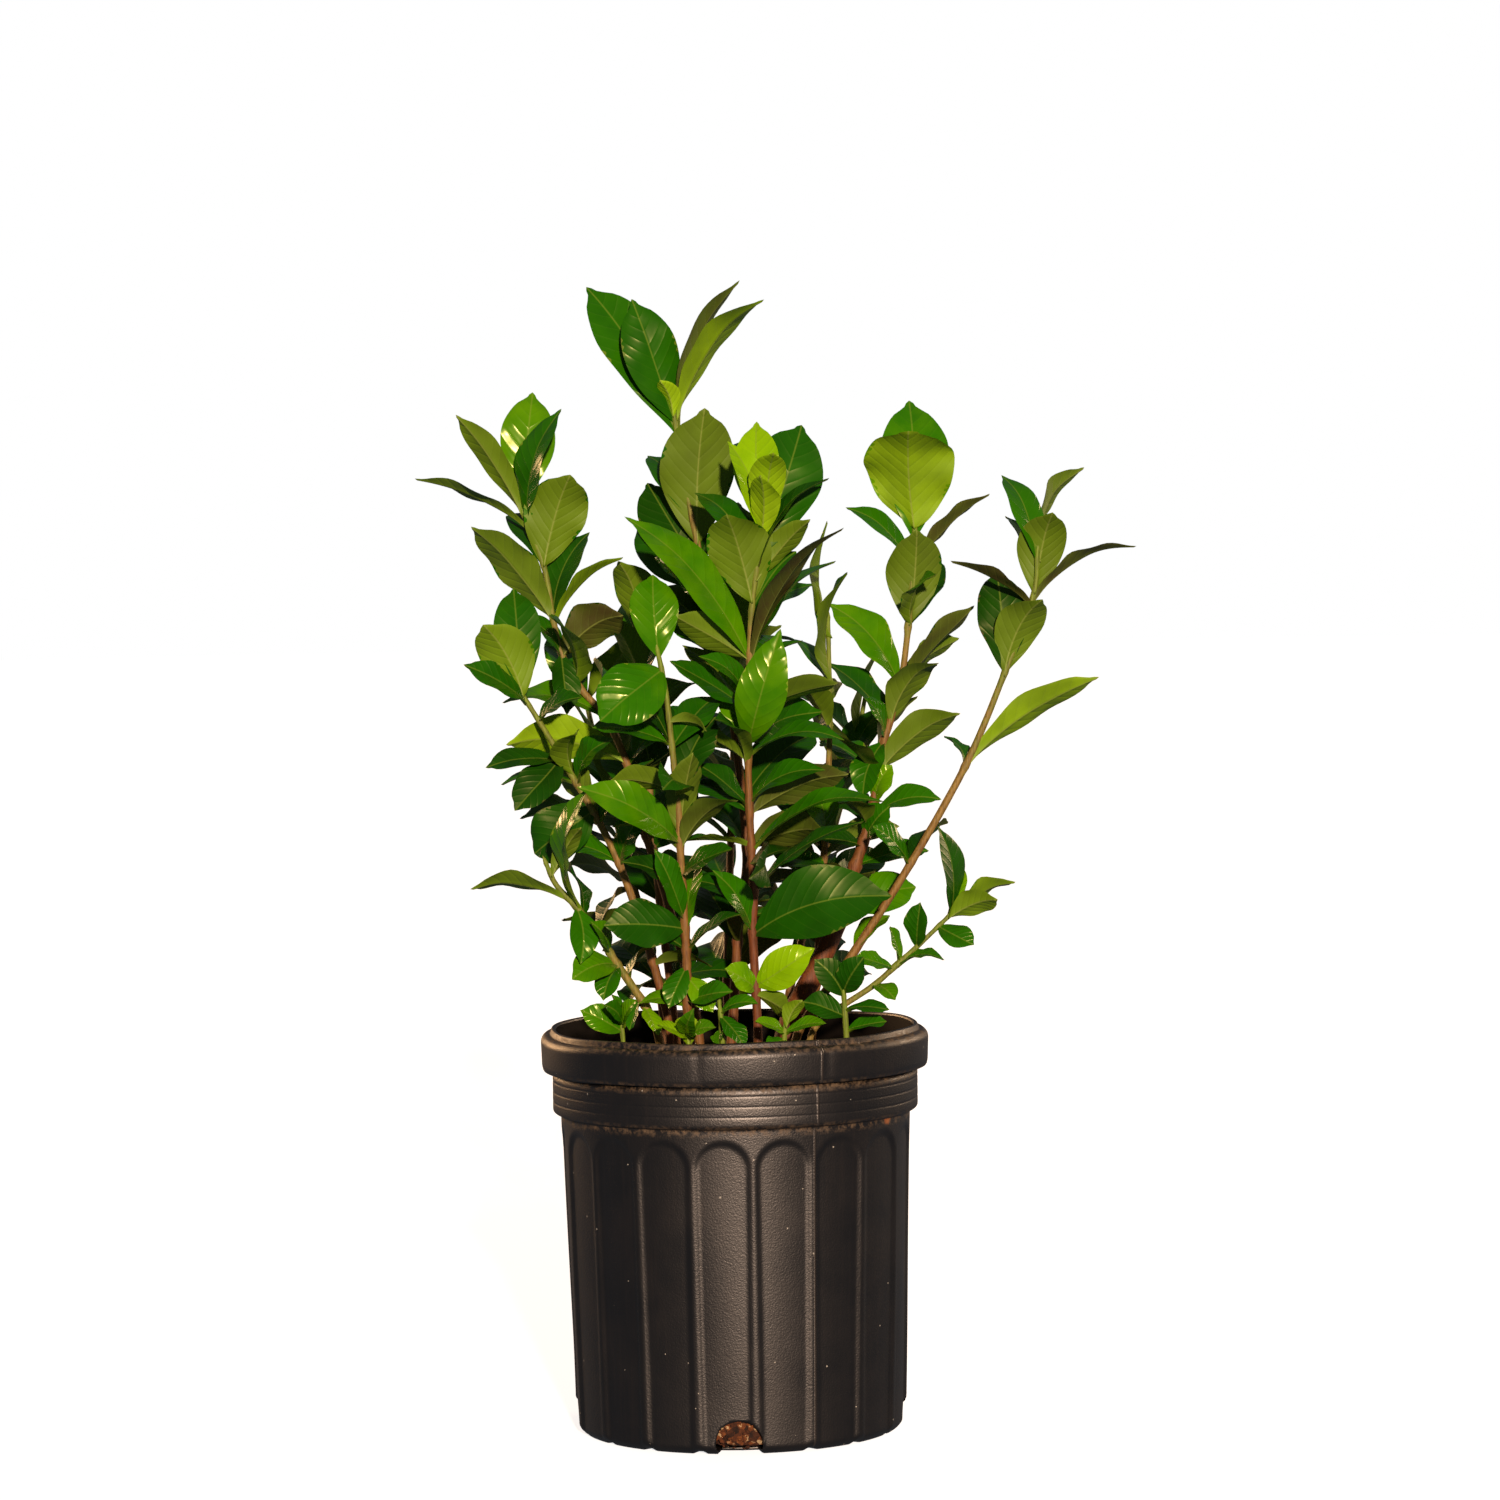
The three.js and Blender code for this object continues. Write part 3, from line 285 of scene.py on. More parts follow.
     [(30, 60, 220, 2.6), (36, 66, 264, 2.5), (58, 92, 334, 2.1), (76, 116, 394, 1.7), (84, 126, 430, 1.3)],
     [],
     [(262, 426, 28, 54, -40, 36)]),
    ("sprig_left",
     [(-64, -46, 220, 1.5), (-65, -48, 238, 1.3), (-66, -49, 250, 1)],
     [(242, (-23, -8, 14), 17, 30, "b"), (244, (9, -8, 18), 12, 60, "l"), (248, (-4, -6, 16), 10, 60, "b"),
      (246, (-10, 14, 14), 12, 60, "g")],
     []),
    ("sprig_front_left",
     [(-26, -74, 220, 1.5), (-26, -76, 236, 1.3), (-26, -77, 244, 1)],
     [(236, (-3, -6, 18), 14, 170, "l"), (240, (-18, -4, 10), 12, 60, "y"), (240, (16, -6, 8), 12, 60, "b"),
      (242, (2, 12, 16), 12, 20, "b")],
     []),
    ("sprig_front",
     [(-6, -66, 220, 1.7), (-7, -68, 244, 1.5), (-8, -69, 258, 1.1)],
     [(254, (22, -8, 6), 14, 60, "b"), (252, (14, -14, -16), 14, 40, "g"), (244, (-2, -18, -8), 12, 60, "b")],
     []),
    ("sprig_front_right",
     [(28, -70, 220, 1.6), (29, -72, 236, 1.4), (30, -73, 248, 1.1)],
     [(242, (24, -8, 6), 13, 60, "b"), (242, (-17, -8, 8), 13, 60, "l"), (246, (10, -8, 16), 12, 150, "b"),
      (238, (-8, -14, -4), 12, 40, "b")],
     []),
    ("sprig_right",
     [(66, -60, 220, 1.8), (65, -62, 244, 1.6), (64, -64, 266, 1.2)],
     [(262, (-16, -8, 22), 18, 20, "d"), (264, (12, -10, 22), 18, 20, "d"), (254, (26, -6, -1), 14, 70, "g"),
      (250, (-24, -6, 10), 18, 40, "d"), (242, (24, 4, 4), 14, 70, "g")],
     []),
    ("sprig_back",
     [(-6, 84, 220, 1.6), (-7, 88, 240, 1.4), (-8, 90, 260, 1.1)],
     [],
     [(238, 258, 10, 26, 30, 20)]),
]


# Small tools


def linear(code):
    """A hex sRGB colour as linear red, green, blue and alpha."""
    parts = [int(code[k : k + 2], 16) / 255 for k in (1, 3, 5)]
    return (*(c / 12.92 if c <= 0.04045 else ((c + 0.055) / 1.055) ** 2.4 for c in parts), 1.0)


def unit(v):
    return v / np.linalg.norm(v, axis=-1, keepdims=True)


def smooth(low, high, x):
    """0 below low, 1 above high, and an S curve between them."""
    t = np.clip((x - low) / (high - low), 0, 1)
    return t * t * (3 - 2 * t)


def lattice(cells, seed):
    """A repeatable number from -1 to 1 for each whole-numbered cell."""
    cells = cells.astype(np.int64)
    mixed = cells[..., 0] * 73856093 ^ cells[..., 1] * 19349663 ^ cells[..., 2] * 83492791
    mixed = (mixed + seed * 2654435761) & 0xFFFFFFFF
    mixed = (mixed ^ (mixed >> 15)) * 2246822519 & 0xFFFFFFFF
    mixed = (mixed ^ (mixed >> 13)) * 3266489917 & 0xFFFFFFFF
    return ((mixed ^ (mixed >> 16)) & 0xFFFF) / 32767.5 - 1


def lumps(places, size, seed):
    """Smooth bumps about size across: the numbers at a cell's eight corners, blended by S curves."""
    scaled = places / size
    cell = np.floor(scaled)
    t = smooth(0, 1, scaled - cell)
    total = np.zeros(places.shape[:-1])
    for corner in range(8):
        step = np.array([corner & 1, corner >> 1 & 1, corner >> 2 & 1])
        share = np.prod(np.where(step == 1, t, 1 - t), axis=-1)
        total += share * lattice(cell + step, seed)
    return total


def round_z(radius, angle, height):
    """Points at a radius and a height, at an angle in radians from the front towards the right."""
    return np.stack([radius * np.sin(angle), -radius * np.cos(angle), height], axis=-1)


def turned(profile, columns):
    """A profile of radii and heights turned about Z: each grid point's angle, radius and height."""
    angle, radius = np.meshgrid(2 * np.pi * np.arange(columns) / columns, profile[:, 0])
    return angle, radius, np.broadcast_to(profile[:, 1:], radius.shape)


def tube_faces(rows, columns, ring=False):
    """Quads between neighbouring rows of a tube's points, and between the last and the first row of a
    ring. They face outwards where columns run anticlockwise seen from above and rows run up."""
    row, column = np.divmod(np.arange((rows if ring else rows - 1) * columns), columns)
    ahead = (column + 1) % columns
    above = (row + 1) % rows * columns
    row = row * columns
    return np.stack([row + column, row + ahead, above + ahead, above + column], axis=1)


def end_fans(rows, columns):
    """Triangles that close a tube's foot and its top to two points that come after the tube's own."""
    around = np.arange(columns)
    ahead = (around + 1) % columns
    last = (rows - 1) * columns
    foot = np.stack([ahead, around, np.full(columns, last + columns)], axis=1)
    top = np.stack([last + around, last + ahead, np.full(columns, last + columns + 1)], axis=1)
    return np.concatenate([foot, top])


def add_piece(name, places, faces, finishes, replaced=(), looks=None, round_map=None, marks=None):
    """Makes one mesh from points in mm and rows of face corners, and hands it to the frame.
    looks gives each face's finish, round_map each corner's two map values, marks the named numbers
    of each point."""
    mesh = bpy.data.meshes.new(name)
    sizes = np.concatenate([np.full(len(group), group.shape[1]) for group in faces])
    corners = np.concatenate([group.ravel() for group in faces]).astype(np.int32)
    mesh.vertices.add(len(places))
    mesh.vertices.foreach_set("co", (places * 0.001).astype(np.float32).ravel())
    mesh.loops.add(len(corners))
    mesh.loops.foreach_set("vertex_index", corners)
    mesh.polygons.add(len(sizes))
    mesh.polygons.foreach_set("loop_start", (np.cumsum(sizes) - sizes).astype(np.int32))
    mesh.polygons.foreach_set("loop_total", sizes.astype(np.int32))
    if looks is not None:
        mesh.polygons.foreach_set("material_index", looks.astype(np.int32))
    mesh.polygons.foreach_set("use_smooth", np.ones(len(sizes), dtype=bool))
    if round_map is not None:
        layer = mesh.uv_layers.new(name="surface_map")
        layer.data.foreach_set("uv", round_map.astype(np.float32).ravel())
    for mark, values in (marks or {}).items():
        mesh.attributes.new(mark, "FLOAT", "POINT").data.foreach_set("value", values.astype(np.float32))
    for finish in finishes:
        mesh.materials.append(finish)
    mesh.update(calc_edges=True)
    piece = bpy.data.objects.new(name, mesh)
    bpy.context.scene.collection.objects.link(piece)
    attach(piece, "root")
    if replaced:
        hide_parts(*replaced)
    return piece


# Finishes


def feed(tree, node, inputs):
    """Fills a node's inputs, by name or number, with a link, a value or a hex colour."""
    for socket, value in inputs.items():
        if isinstance(value, bpy.types.NodeSocket):
            tree.links.new(value, node.inputs[socket])
        else:
            node.inputs[socket].default_value = linear(value) if isinstance(value, str) else value


def add_node(tree, kind, inputs=(), gives=0, stops=(), **settings):
    """Adds a node, sets its properties, fills its inputs and returns one of its outputs. A list of
    inputs is in the node's own order. stops are the places and hex colours of a colour ramp."""
    node = tree.nodes.new("ShaderNode" + kind)
    for name, value in settings.items():
        setattr(node, name, value)
    for k, (place, colour) in enumerate(stops):
        element = node.color_ramp.elements[k] if k < 2 else node.color_ramp.elements.new(place)
        element.position = place
        element.color = linear(colour)
    feed(tree, node, inputs if isinstance(inputs, dict) else dict(enumerate(inputs)))
    return node.outputs[gives]


def new_finish(name):
    """An empty finish: its node tree and its surface shader, already joined to the output."""
    finish = bpy.data.materials.new(name)
    finish.use_nodes = True
    return finish, finish.node_tree, finish.node_tree.nodes["Principled BSDF"]


def blow_moulded_polyethylene():
    """Black HDPE, blown in a sandblasted mould: a satin skin with a fine grain, dust on the ledges,
    faint upright rubs, a thin seam line and a few white specks of perlite dust."""
    finish, tree, shader = new_finish("blow_moulded_polyethylene")
    place = add_node(tree, "TexCoord", gives="Object")
    around = add_node(tree, "UVMap", gives="UV", uv_map="surface_map")
    bearing = add_node(tree, "SeparateXYZ", [around], "X")
    height = add_node(tree, "SeparateXYZ", [around], "Y")
    # grain of the sandblasted mould, about 1 mm, and clouds of bloom 35 mm across
    grain = add_node(tree, "TexNoise", {"Vector": place, "Scale": 1000.0, "Detail": 3.0})
    cloud = add_node(tree, "TexNoise", {"Vector": place, "Scale": 28.0, "Detail": 6.0, "Roughness": 0.62})
    # rubs run up the wall: 2.5 mm wide and 60 mm long
    stretched = add_node(tree, "Mapping", {"Vector": place, "Scale": (400.0, 400.0, 16.0)})
    rubs = add_node(tree, "TexNoise", {"Vector": stretched, "Scale": 1.0, "Detail": 4.0})
    # dust lies in patches, 4 mm across, up to 4 mm above and below each ledge
    dusty = 0.0
    for ledge in DUSTY_LEDGES:
        gap = add_node(tree, "Math", [height, ledge], operation="SUBTRACT")
        gap = add_node(tree, "Math", [gap], operation="ABSOLUTE")
        near = add_node(tree, "MapRange", [gap, 0.0008, 0.0042, 1.0, 0.0])
        dusty = add_node(tree, "Math", [dusty, near], operation="MAXIMUM")
    patch = add_node(tree, "TexNoise", {"Vector": place, "Scale": 260.0, "Detail": 5.0, "Roughness": 0.7})
    patchy = add_node(tree, "MapRange", [patch, 0.44, 0.68])
    dust = add_node(tree, "Math", [dusty, patchy], operation="MULTIPLY")
    bloom = add_node(tree, "MapRange", [cloud, 0.42, 0.8, 0.0, 0.26])
    rubbed = add_node(tree, "MapRange", [rubs, 0.5, 0.8, 0.0, 0.3])
    film = add_node(tree, "Math", [bloom, rubbed], operation="ADD")
    # specks of perlite dust, about a millimetre across
    cells = add_node(tree, "TexVoronoi", {"Vector": place, "Scale": 85.0, "Randomness": 1.0}, "Distance")
    speck = add_node(tree, "Math", [cells, 0.045], operation="LESS_THAN")
    # the mould's seam, a line at two sides, 0.8 mm wide and blurred to 1.8 mm
    turn = add_node(tree, "Math", [bearing, SEAM_BEARING / 360], operation="SUBTRACT")
    turn = add_node(tree, "Math", [turn, 0.25, -0.25], operation="WRAP")
    turn = add_node(tree, "Math", [turn], operation="ABSOLUTE")
    seam = add_node(tree, "MapRange", [turn, 0.0006, 0.0014, 1.0, 0.0])
    # one dab of dry clay under the band, 8 mm wide, with a ragged edge
    away = add_node(tree, "VectorMath", [place, CLAY_SPOT], "Value", operation="DISTANCE")
    ragged = add_node(tree, "Math", [patch, 0.006, away], operation="MULTIPLY_ADD")
    clay = add_node(tree, "MapRange", [ragged, 0.0055, 0.0075, 0.9, 0.0])
    colour = "#090706"
    for share, shade in ((film, "#241d17"), (dust, "#6b573d"), (speck, "#b0ada2"), (seam, "#2e2822"),
                         (clay, "#a5632f")):
        colour = add_node(tree, "Mix", {0: share, 6: colour, 7: shade}, 2, data_type="RGBA")
    rough = add_node(tree, "MapRange", [cloud, 0.3, 0.75, 0.38, 0.46])
    rough = add_node(tree, "Math", [dust, 0.4, rough], operation="MULTIPLY_ADD")
    ridge = add_node(tree, "Bump", {"Height": seam, "Distance": 0.0003, "Strength": 0.9})
    skin = add_node(tree, "Bump", {"Height": grain, "Distance": 0.00028, "Strength": 0.6, "Normal": ridge})
    feed(tree, shader, {"Base Color": colour, "Roughness": rough, "Specular IOR Level": 1.0, "Normal": skin})
    return finish


def mix_dusted_polyethylene():
    """The same black HDPE inside the pot, dulled by dried mix in clouds 11 mm across."""
    finish, tree, shader = new_finish("mix_dusted_polyethylene")
    place = add_node(tree, "TexCoord", gives="Object")
    cloud = add_node(tree, "TexNoise", {"Vector": place, "Scale": 90.0, "Detail": 5.0})
    colour = add_node(tree, "Mix", {0: cloud, 6: "#050403", 7: "#17110c"}, 2, data_type="RGBA")
    feed(tree, shader, {"Base Color": colour, "Roughness": 0.8, "Specular IOR Level": 0.15})
    return finish


def composted_bark_mix():
    """Damp composted pine bark with peat and a little perlite: dull orange-brown crumbs, 3 mm across, with
    painted shade, near black, in the hollows, and pale flecks."""
    finish, tree, shader = new_finish("composted_bark_mix")
    place = add_node(tree, "TexCoord", gives="Object")
    crumbs = add_node(tree, "TexVoronoi", {"Vector": place, "Scale": 330.0}, "Color")
    cloud = add_node(tree, "TexNoise", {"Vector": place, "Scale": 190.0, "Detail": 6.0, "Roughness": 0.7})
    tint = add_node(tree, "SeparateColor", [crumbs])
    # the crumbs' own tints, and painted shade where the lumps sink: the colour falls to near black in the
    # bump's hollows
    blend = add_node(tree, "Math", [tint, 0.5, cloud], operation="MULTIPLY_ADD")
    colour = add_node(tree, "ValToRGB", [blend], stops=[
        (0.35, "#0e0805"), (0.55, "#2f190d"), (0.78, "#5a3016"), (0.95, "#80491f"), (1.0, "#b8a27c")])
    skin = add_node(tree, "Bump", {"Height": cloud, "Distance": 0.0015, "Strength": 0.9})
    feed(tree, shader, {"Base Color": colour, "Roughness": 0.92, "Normal": skin})
    return finish


def vein_nodes(tree):
    """How far a point lies between two side veins, 0 on a vein and 1 midway, and how near it is to the
    midrib, from 0 to 1. The vein attribute counts side veins along the leaf, and the map holds mm along
    and mm across it, over 100."""
    count = add_node(tree, "Attribute", gives="Fac", attribute_name="vein")
    whole = add_node(tree, "Math", [count, 0.5], operation="PINGPONG")
    from_middle = add_node(tree, "Math", [whole, -2.0, 1.0], operation="MULTIPLY_ADD")
    size = add_node(tree, "Math", [from_middle], operation="ABSOLUTE")
    hollow = add_node(tree, "Math", [size, 3.5], operation="POWER")
    bulge = add_node(tree, "Math", [1.0, hollow], operation="SUBTRACT")
    around = add_node(tree, "UVMap", gives="UV", uv_map="surface_map")
    across = add_node(tree, "SeparateXYZ", [around], "Y")
    off = add_node(tree, "Math", [across], operation="ABSOLUTE")
    rib = add_node(tree, "MapRange", [off, 0.001, 0.0075, 1.0, 0.0], interpolation_type="SMOOTHSTEP")
    return bulge, rib


def leaf_colour(tree, stops, vein_colour, vein_share, rib_colour, rib_share, bulge, rib):
    """A leaf's colour: by its tone attribute, clouded over 15 mm, with its veins and midrib."""
    place = add_node(tree, "TexCoord", gives="Object")
    tone = add_node(tree, "Attribute", gives="Fac", attribute_name="tone")
    cloud = add_node(tree, "TexNoise", {"Vector": place, "Scale": 65.0, "Detail": 4.0})
    varied = add_node(tree, "MapRange", [cloud, 0.25, 0.75, -0.08, 0.08])
    tone = add_node(tree, "Math", [tone, varied], operation="ADD")
    plain = add_node(tree, "ValToRGB", [tone], stops=stops)
    on_vein = add_node(tree, "MapRange", [bulge, 0.0, 0.3, vein_share, 0.0])
    veined = add_node(tree, "Mix", {0: on_vein, 6: plain, 7: vein_colour}, 2, data_type="RGBA")
    on_rib = add_node(tree, "Math", [rib, rib_share], operation="MULTIPLY")
    return add_node(tree, "Mix", {0: on_rib, 6: veined, 7: rib_colour}, 2, data_type="RGBA")


def waxy_leaf_upper():
    """The upper side of a gardenia leaf: a thick smooth cuticle that shines, with fine ridges along its side
    veins and a pale midrib, dark when old, with painted shade in the tone of the dark kind of leaf, and
    yellow-green when young."""
    finish, tree, shader = new_finish("waxy_leaf_upper")
    bulge, rib = vein_nodes(tree)
    stops = [(0.0, "#0f3b02"), (0.3, "#1c5c01"), (0.55, "#307600"), (0.8, "#5e9a02"), (1.0, "#88be05")]
    colour = leaf_colour(tree, stops, "#6f9a2c", 0.08, "#7f9a34", 0.42, bulge, rib)
    # old leaves are dusty and shine less than young ones
    tone = add_node(tree, "Attribute", gives="Fac", attribute_name="tone")
    rough = add_node(tree, "MapRange", [tone, 0.2, 0.5, 0.42, 0.22])
    # below zero, so that the veins stand out and the blade between them is hollow
    ridges = add_node(tree, "Bump", {"Height": bulge, "Distance": -0.00022, "Strength": 0.8})
    # the cuticle isn't flat: slow dents about 20 mm across
    place = add_node(tree, "TexCoord", gives="Object")
    dents = add_node(tree, "TexNoise", {"Vector": place, "Scale": 50.0, "Detail": 0.5})
    skin = add_node(tree, "Bump", {"Height": dents, "Distance": 0.005, "Strength": 0.5, "Normal": ridges})
    feed(tree, shader, {"Base Color": colour, "Roughness": rough, "IOR": 1.45, "Specular Tint": "#f0f5b0",
                        "Normal": skin})
    return finish


def matt_leaf_underside():
    """The underside of a gardenia leaf: paler, olive and matt, and softly quilted between its veins."""
    finish, tree, shader = new_finish("matt_leaf_underside")
    bulge, rib = vein_nodes(tree)
    # the dusky brown-olive at the dark end is painted shade and sheen: the brownish grey that undersides show
    # in shade and glancing light, on the dark kind of leaf
    stops = [(0.0, "#49441f"), (0.25, "#5a741a"), (0.7, "#739a12"), (1.0, "#9ccc10")]
    colour = leaf_colour(tree, stops, "#7f9c40", 0.18, "#95a650", 0.55, bulge, rib)
    quilt = add_node(tree, "Bump", {"Height": bulge, "Distance": 0.00025, "Strength": 0.7})
    feed(tree, shader, {"Base Color": colour, "Roughness": 0.55, "IOR": 1.38, "Normal": quilt})
    return finish


def young_wood_and_bark():
    """Gardenia stems: smooth and green near the tip, then tan, then thin reddish bark with fine lengthwise
    cracks that hold painted shade. The age attribute says how old the wood is, and varies over 8 mm."""
    finish, tree, shader = new_finish("young_wood_and_bark")
    age = add_node(tree, "Attribute", gives="Fac", attribute_name="age")
    place = add_node(tree, "TexCoord", gives="Object")
    cloud = add_node(tree, "TexNoise", {"Vector": place, "Scale": 120.0, "Detail": 5.0, "Roughness": 0.65})
    varied = add_node(tree, "MapRange", [cloud, 0.25, 0.75, -0.14, 0.14])
    age = add_node(tree, "Math", [age, varied], operation="ADD")
    plain = add_node(tree, "ValToRGB", [age], stops=[
        (0.0, "#7f9a2c"), (0.2, "#808a30"), (0.38, "#9c8240"), (0.65, "#8c652e"), (1.0, "#7a421e")])
    # bark cracks: 1 mm apart and 10 mm long
    drawn_out = add_node(tree, "Mapping", {"Vector": place, "Scale": (1000.0, 1000.0, 100.0)})
    cracks = add_node(tree, "TexNoise", {"Vector": drawn_out, "Scale": 1.0, "Detail": 4.0})
    # painted shade: the colour darkens by up to 0.45 in the cracks
    deep = add_node(tree, "MapRange", [cracks, 0.35, 0.6, 0.55, 1.0])
    colour = add_node(tree, "Mix", {0: 1.0, 6: plain, 7: deep}, 2, data_type="RGBA", blend_type="MULTIPLY")
    skin = add_node(tree, "Bump", {"Height": cracks, "Distance": 0.0004, "Strength": 0.7})
    feed(tree, shader, {"Base Color": colour, "Roughness": 0.62, "Normal": skin})
    return finish


def acrylic_floor():
    """A white acrylic studio floor, lit from below."""
    finish, tree, shader = new_finish("acrylic_floor")
    place = add_node(tree, "TexCoord", gives="Object")
    cloud = add_node(tree, "TexNoise", {"Vector": place, "Scale": 3.0, "Detail": 3.0})
    tint = add_node(tree, "Mix", {0: cloud, 6: "#f1efea", 7: "#f6f5f1"}, 2, data_type="RGBA")
    feed(tree, shader, {"Base Color": tint, "Roughness": 0.9, "Emission Color": "#ffffff",
                        "Emission Strength": 0.78})
    return finish


POT_FINISH = blow_moulded_polyethylene()
INNER_FINISH = mix_dusted_polyethylene()
MIX_FINISH = composted_bark_mix()
UPPER_FINISH = waxy_leaf_upper()
UNDER_FINISH = matt_leaf_underside()
WOOD_FINISH = young_wood_and_bark()


# Canes and leaf places, by the source's own rule


class Draws:
    """Repeatable draws between 0 and 1: the last whole number times 16807, modulo 2147483647."""

    def __init__(self, seed):
        self.state = seed

    def within(self, least_and_spread):
        self.state = self.state * 16807 % 2147483647
        return least_and_spread[0] + least_and_spread[1] * (self.state / 2147483647)


def cane_line(route):
    """Points and radii along a cane: a Catmull-Rom curve of tension a half through its foot, 25 mm
    down in the mix, and its route."""
    table = np.array(route, dtype=float)
    foot = np.array([[table[0, 0], table[0, 1], SOIL_HEIGHT - BURIED, table[0, 3]]])
    table = np.vstack([foot, table])
    knots = table[:, :3]
    knots = np.vstack([2 * knots[0] - knots[1], knots, 2 * knots[-1] - knots[-2]])
    spans = len(table) - 1
    along = np.arange(CURVE_SAMPLES + 1) / CURVE_SAMPLES * spans
    low = np.minimum(np.floor(along).astype(int), spans - 1)
    t = (along - low)[:, None]
    before, start, end, after = (knots[low + k] for k in range(4))
    lead, trail = 0.5 * (end - before), 0.5 * (after - start)
    points = (start + lead * t + (3 * end - 3 * start - 2 * lead - trail) * t**2
              + (2 * start - 2 * end + lead + trail) * t**3)
    radii = np.interp(along, np.arange(spans + 1), table[:, 3])
    return points, radii


def point_at_height(points, height):
    """The point of a cane's line at a height, or its end where the cane is lower."""
    reached = np.nonzero(points[:, 2] >= height)[0]
    if len(reached) == 0:
        return points[-1].copy()
    if reached[0] == 0:
        return points[0].copy()
    low, high = points[reached[0] - 1], points[reached[0]]
    return low + (high - low) * (height - low[2]) / (high[2] - low[2])


def blade_frame(reach, turn):
    """A blade's directions along it, to its side and out of its upper face. A turn of 0 faces the
    front and a quarter turn faces up."""
    along = unit(reach)
    front = np.array([0.0, -1.0, 0.0])
    front = unit(front - along * front.dot(along))
    up = np.cross(along, front)
    if up[2] < 0:
        up = -up
    face = front * math.cos(turn) + up * math.sin(turn)
    return along, np.cross(along, face), face


def blade_outline(along, fullness=SIDE_FULLNESS):
    """Half a blade's width at shares along it, as a share of its widest: a shifted sine, made fuller."""
    return np.maximum(0, np.sin(np.pi * along**WIDEST_SHIFT)) ** fullness


def blade_samples(blade):
    """The source's sample points on a blade, 5 mm apart, and which are far enough from the stem to count
    against leaves of the same cane."""
    length = np.linalg.norm(blade["reach"])
    rows = math.ceil(length / SAMPLE_STEP)
    columns = math.ceil(blade["width"] / (2 * SAMPLE_STEP))
    along, across = np.meshgrid(
        np.arange(rows + 1) / rows, np.arange(-columns, columns + 1) / columns, indexing="ij")
    along, across = along.ravel(), across.ravel()
    half = 0.5 * blade["width"] * blade_outline(along)
    lift = 4 * blade["bow"] * length * along * (1 - along) + BLADE_FOLD * half * np.abs(across)
    _, side, face = blade["frame"]
    points = blade["base"] + np.outer(along, blade["reach"])
    points = points + np.outer(across * half, side) + np.outer(lift, face)
    return points, along >= (PAIRED_OUTER_SHARE if blade["paired"] else OUTER_SHARE)


def meets_pot(points):
    """True where a point is in the wall, the rim or the mix, or nearly."""
    radius = np.hypot(points[:, 0], points[:, 1])
    at_wall = (points[:, 2] < POT_HEIGHT + POT_CLEARANCE) & (radius > BODY_TOP_RADIUS - SOLID_WALL)
    at_mix = points[:, 2] < SOIL_HEIGHT + SOIL_CROWN + 1
    return (radius < RIM_RADIUS + POT_CLEARANCE) & (at_wall | at_mix)


# Which meetings within one cane count: a listed leaf's near both tips, or none of them, and a paired leaf's
# past its own foot
def both_near_tips(outer, others):
    return outer[:, None] & others


def never(outer, others):
    return np.zeros((len(outer), len(others)), dtype=bool)


def past_foot(outer, others):
    return outer[:, None] & np.ones(len(others), dtype=bool)


class Crowd:
    """The sample points of all that stands already."""

    def __init__(self, lines):
        self.points = np.vstack([points for points, _ in lines])
        self.owner = np.repeat(np.arange(len(lines)), CURVE_SAMPLES + 1)
        self.outer = np.zeros(len(self.points), dtype=bool)
        self.clearance = np.concatenate([radii + CANE_CLEARANCE for _, radii in lines])

    def has_room(self, points, outer, owner, counts):
        """True where no sample is closer than its clearance to one that counts."""
        if meets_pot(points).any():
            return False
        reach = self.clearance.max()
        near = ((self.points > points.min(0) - reach) & (self.points < points.max(0) + reach)).all(1)
        apart = ((points[:, None] - self.points[near][None]) ** 2).sum(-1)
        own = self.owner[near] == owner
        hit = apart < np.where(own, OWN_CLEARANCE, self.clearance[near]) ** 2
        return not (hit & (~own | counts(outer, self.outer[near]))).any()

    def join(self, points, outer, owner):
        self.points = np.vstack([self.points, points])
        self.owner = np.append(self.owner, np.full(len(points), owner))
        self.outer = np.append(self.outer, outer)
        self.clearance = np.append(self.clearance, np.full(len(points), LEAF_CLEARANCE))


def bend_deep(reach, bend):
    """The reach moved back by some millimetres."""
    return reach + np.array([0.0, bend, 0.0])


def bend_round(reach, bend):
    """The reach turned round the upright axis by some degrees."""
    turn = math.radians(bend)
    x, y, z = reach
    return np.array([x * math.cos(turn) - y * math.sin(turn), x * math.sin(turn) + y * math.cos(turn), z])


def placed_blade(blade, owner, crowd, bend_by):
    """The blade at the first bend that is clear of all that stands, or None."""
    for counts in (past_foot,) if blade["paired"] else (both_near_tips, never):
        for bend in BENDS:
            reach = bend_by(blade["reach"], bend)
            tried = {**blade, "reach": reach, "frame": blade_frame(reach, blade["turn"])}
            points, outer = blade_samples(tried)
            if crowd.has_room(points, outer, owner, counts):
                crowd.join(points, outer, owner)
                return tried
    return None


def new_blade(base, reach, width, turn, tone, paired, posed, draws):
    """A leaf as it is first asked for, with a drawn bow."""
    return {"base": base, "reach": reach, "width": width, "turn": turn, "tone": tone, "paired": paired,
            "posed": posed, "bow": BLADE_BOW * draws.within(BOW_DRAW)}


def hand_leaves(points, leaves, draws):
    return [
        new_blade(point_at_height(points, height), np.array(reach, dtype=float), width, math.radians(turn),
                  TONES[kind], False, POSED.get(kind), draws)
        for height, reach, width, turn, kind in leaves
    ]


def natural_turn(reach):
    """The turn that lays a leaf with its upper side to the sky."""
    along, _, front = blade_frame(reach, 0)
    up = blade_frame(reach, math.pi / 2)[2]
    sky = np.array([0.0, 0.0, 1.0])
    sky = sky - along * sky.dot(along)
    return math.atan2(sky.dot(up), sky.dot(front))


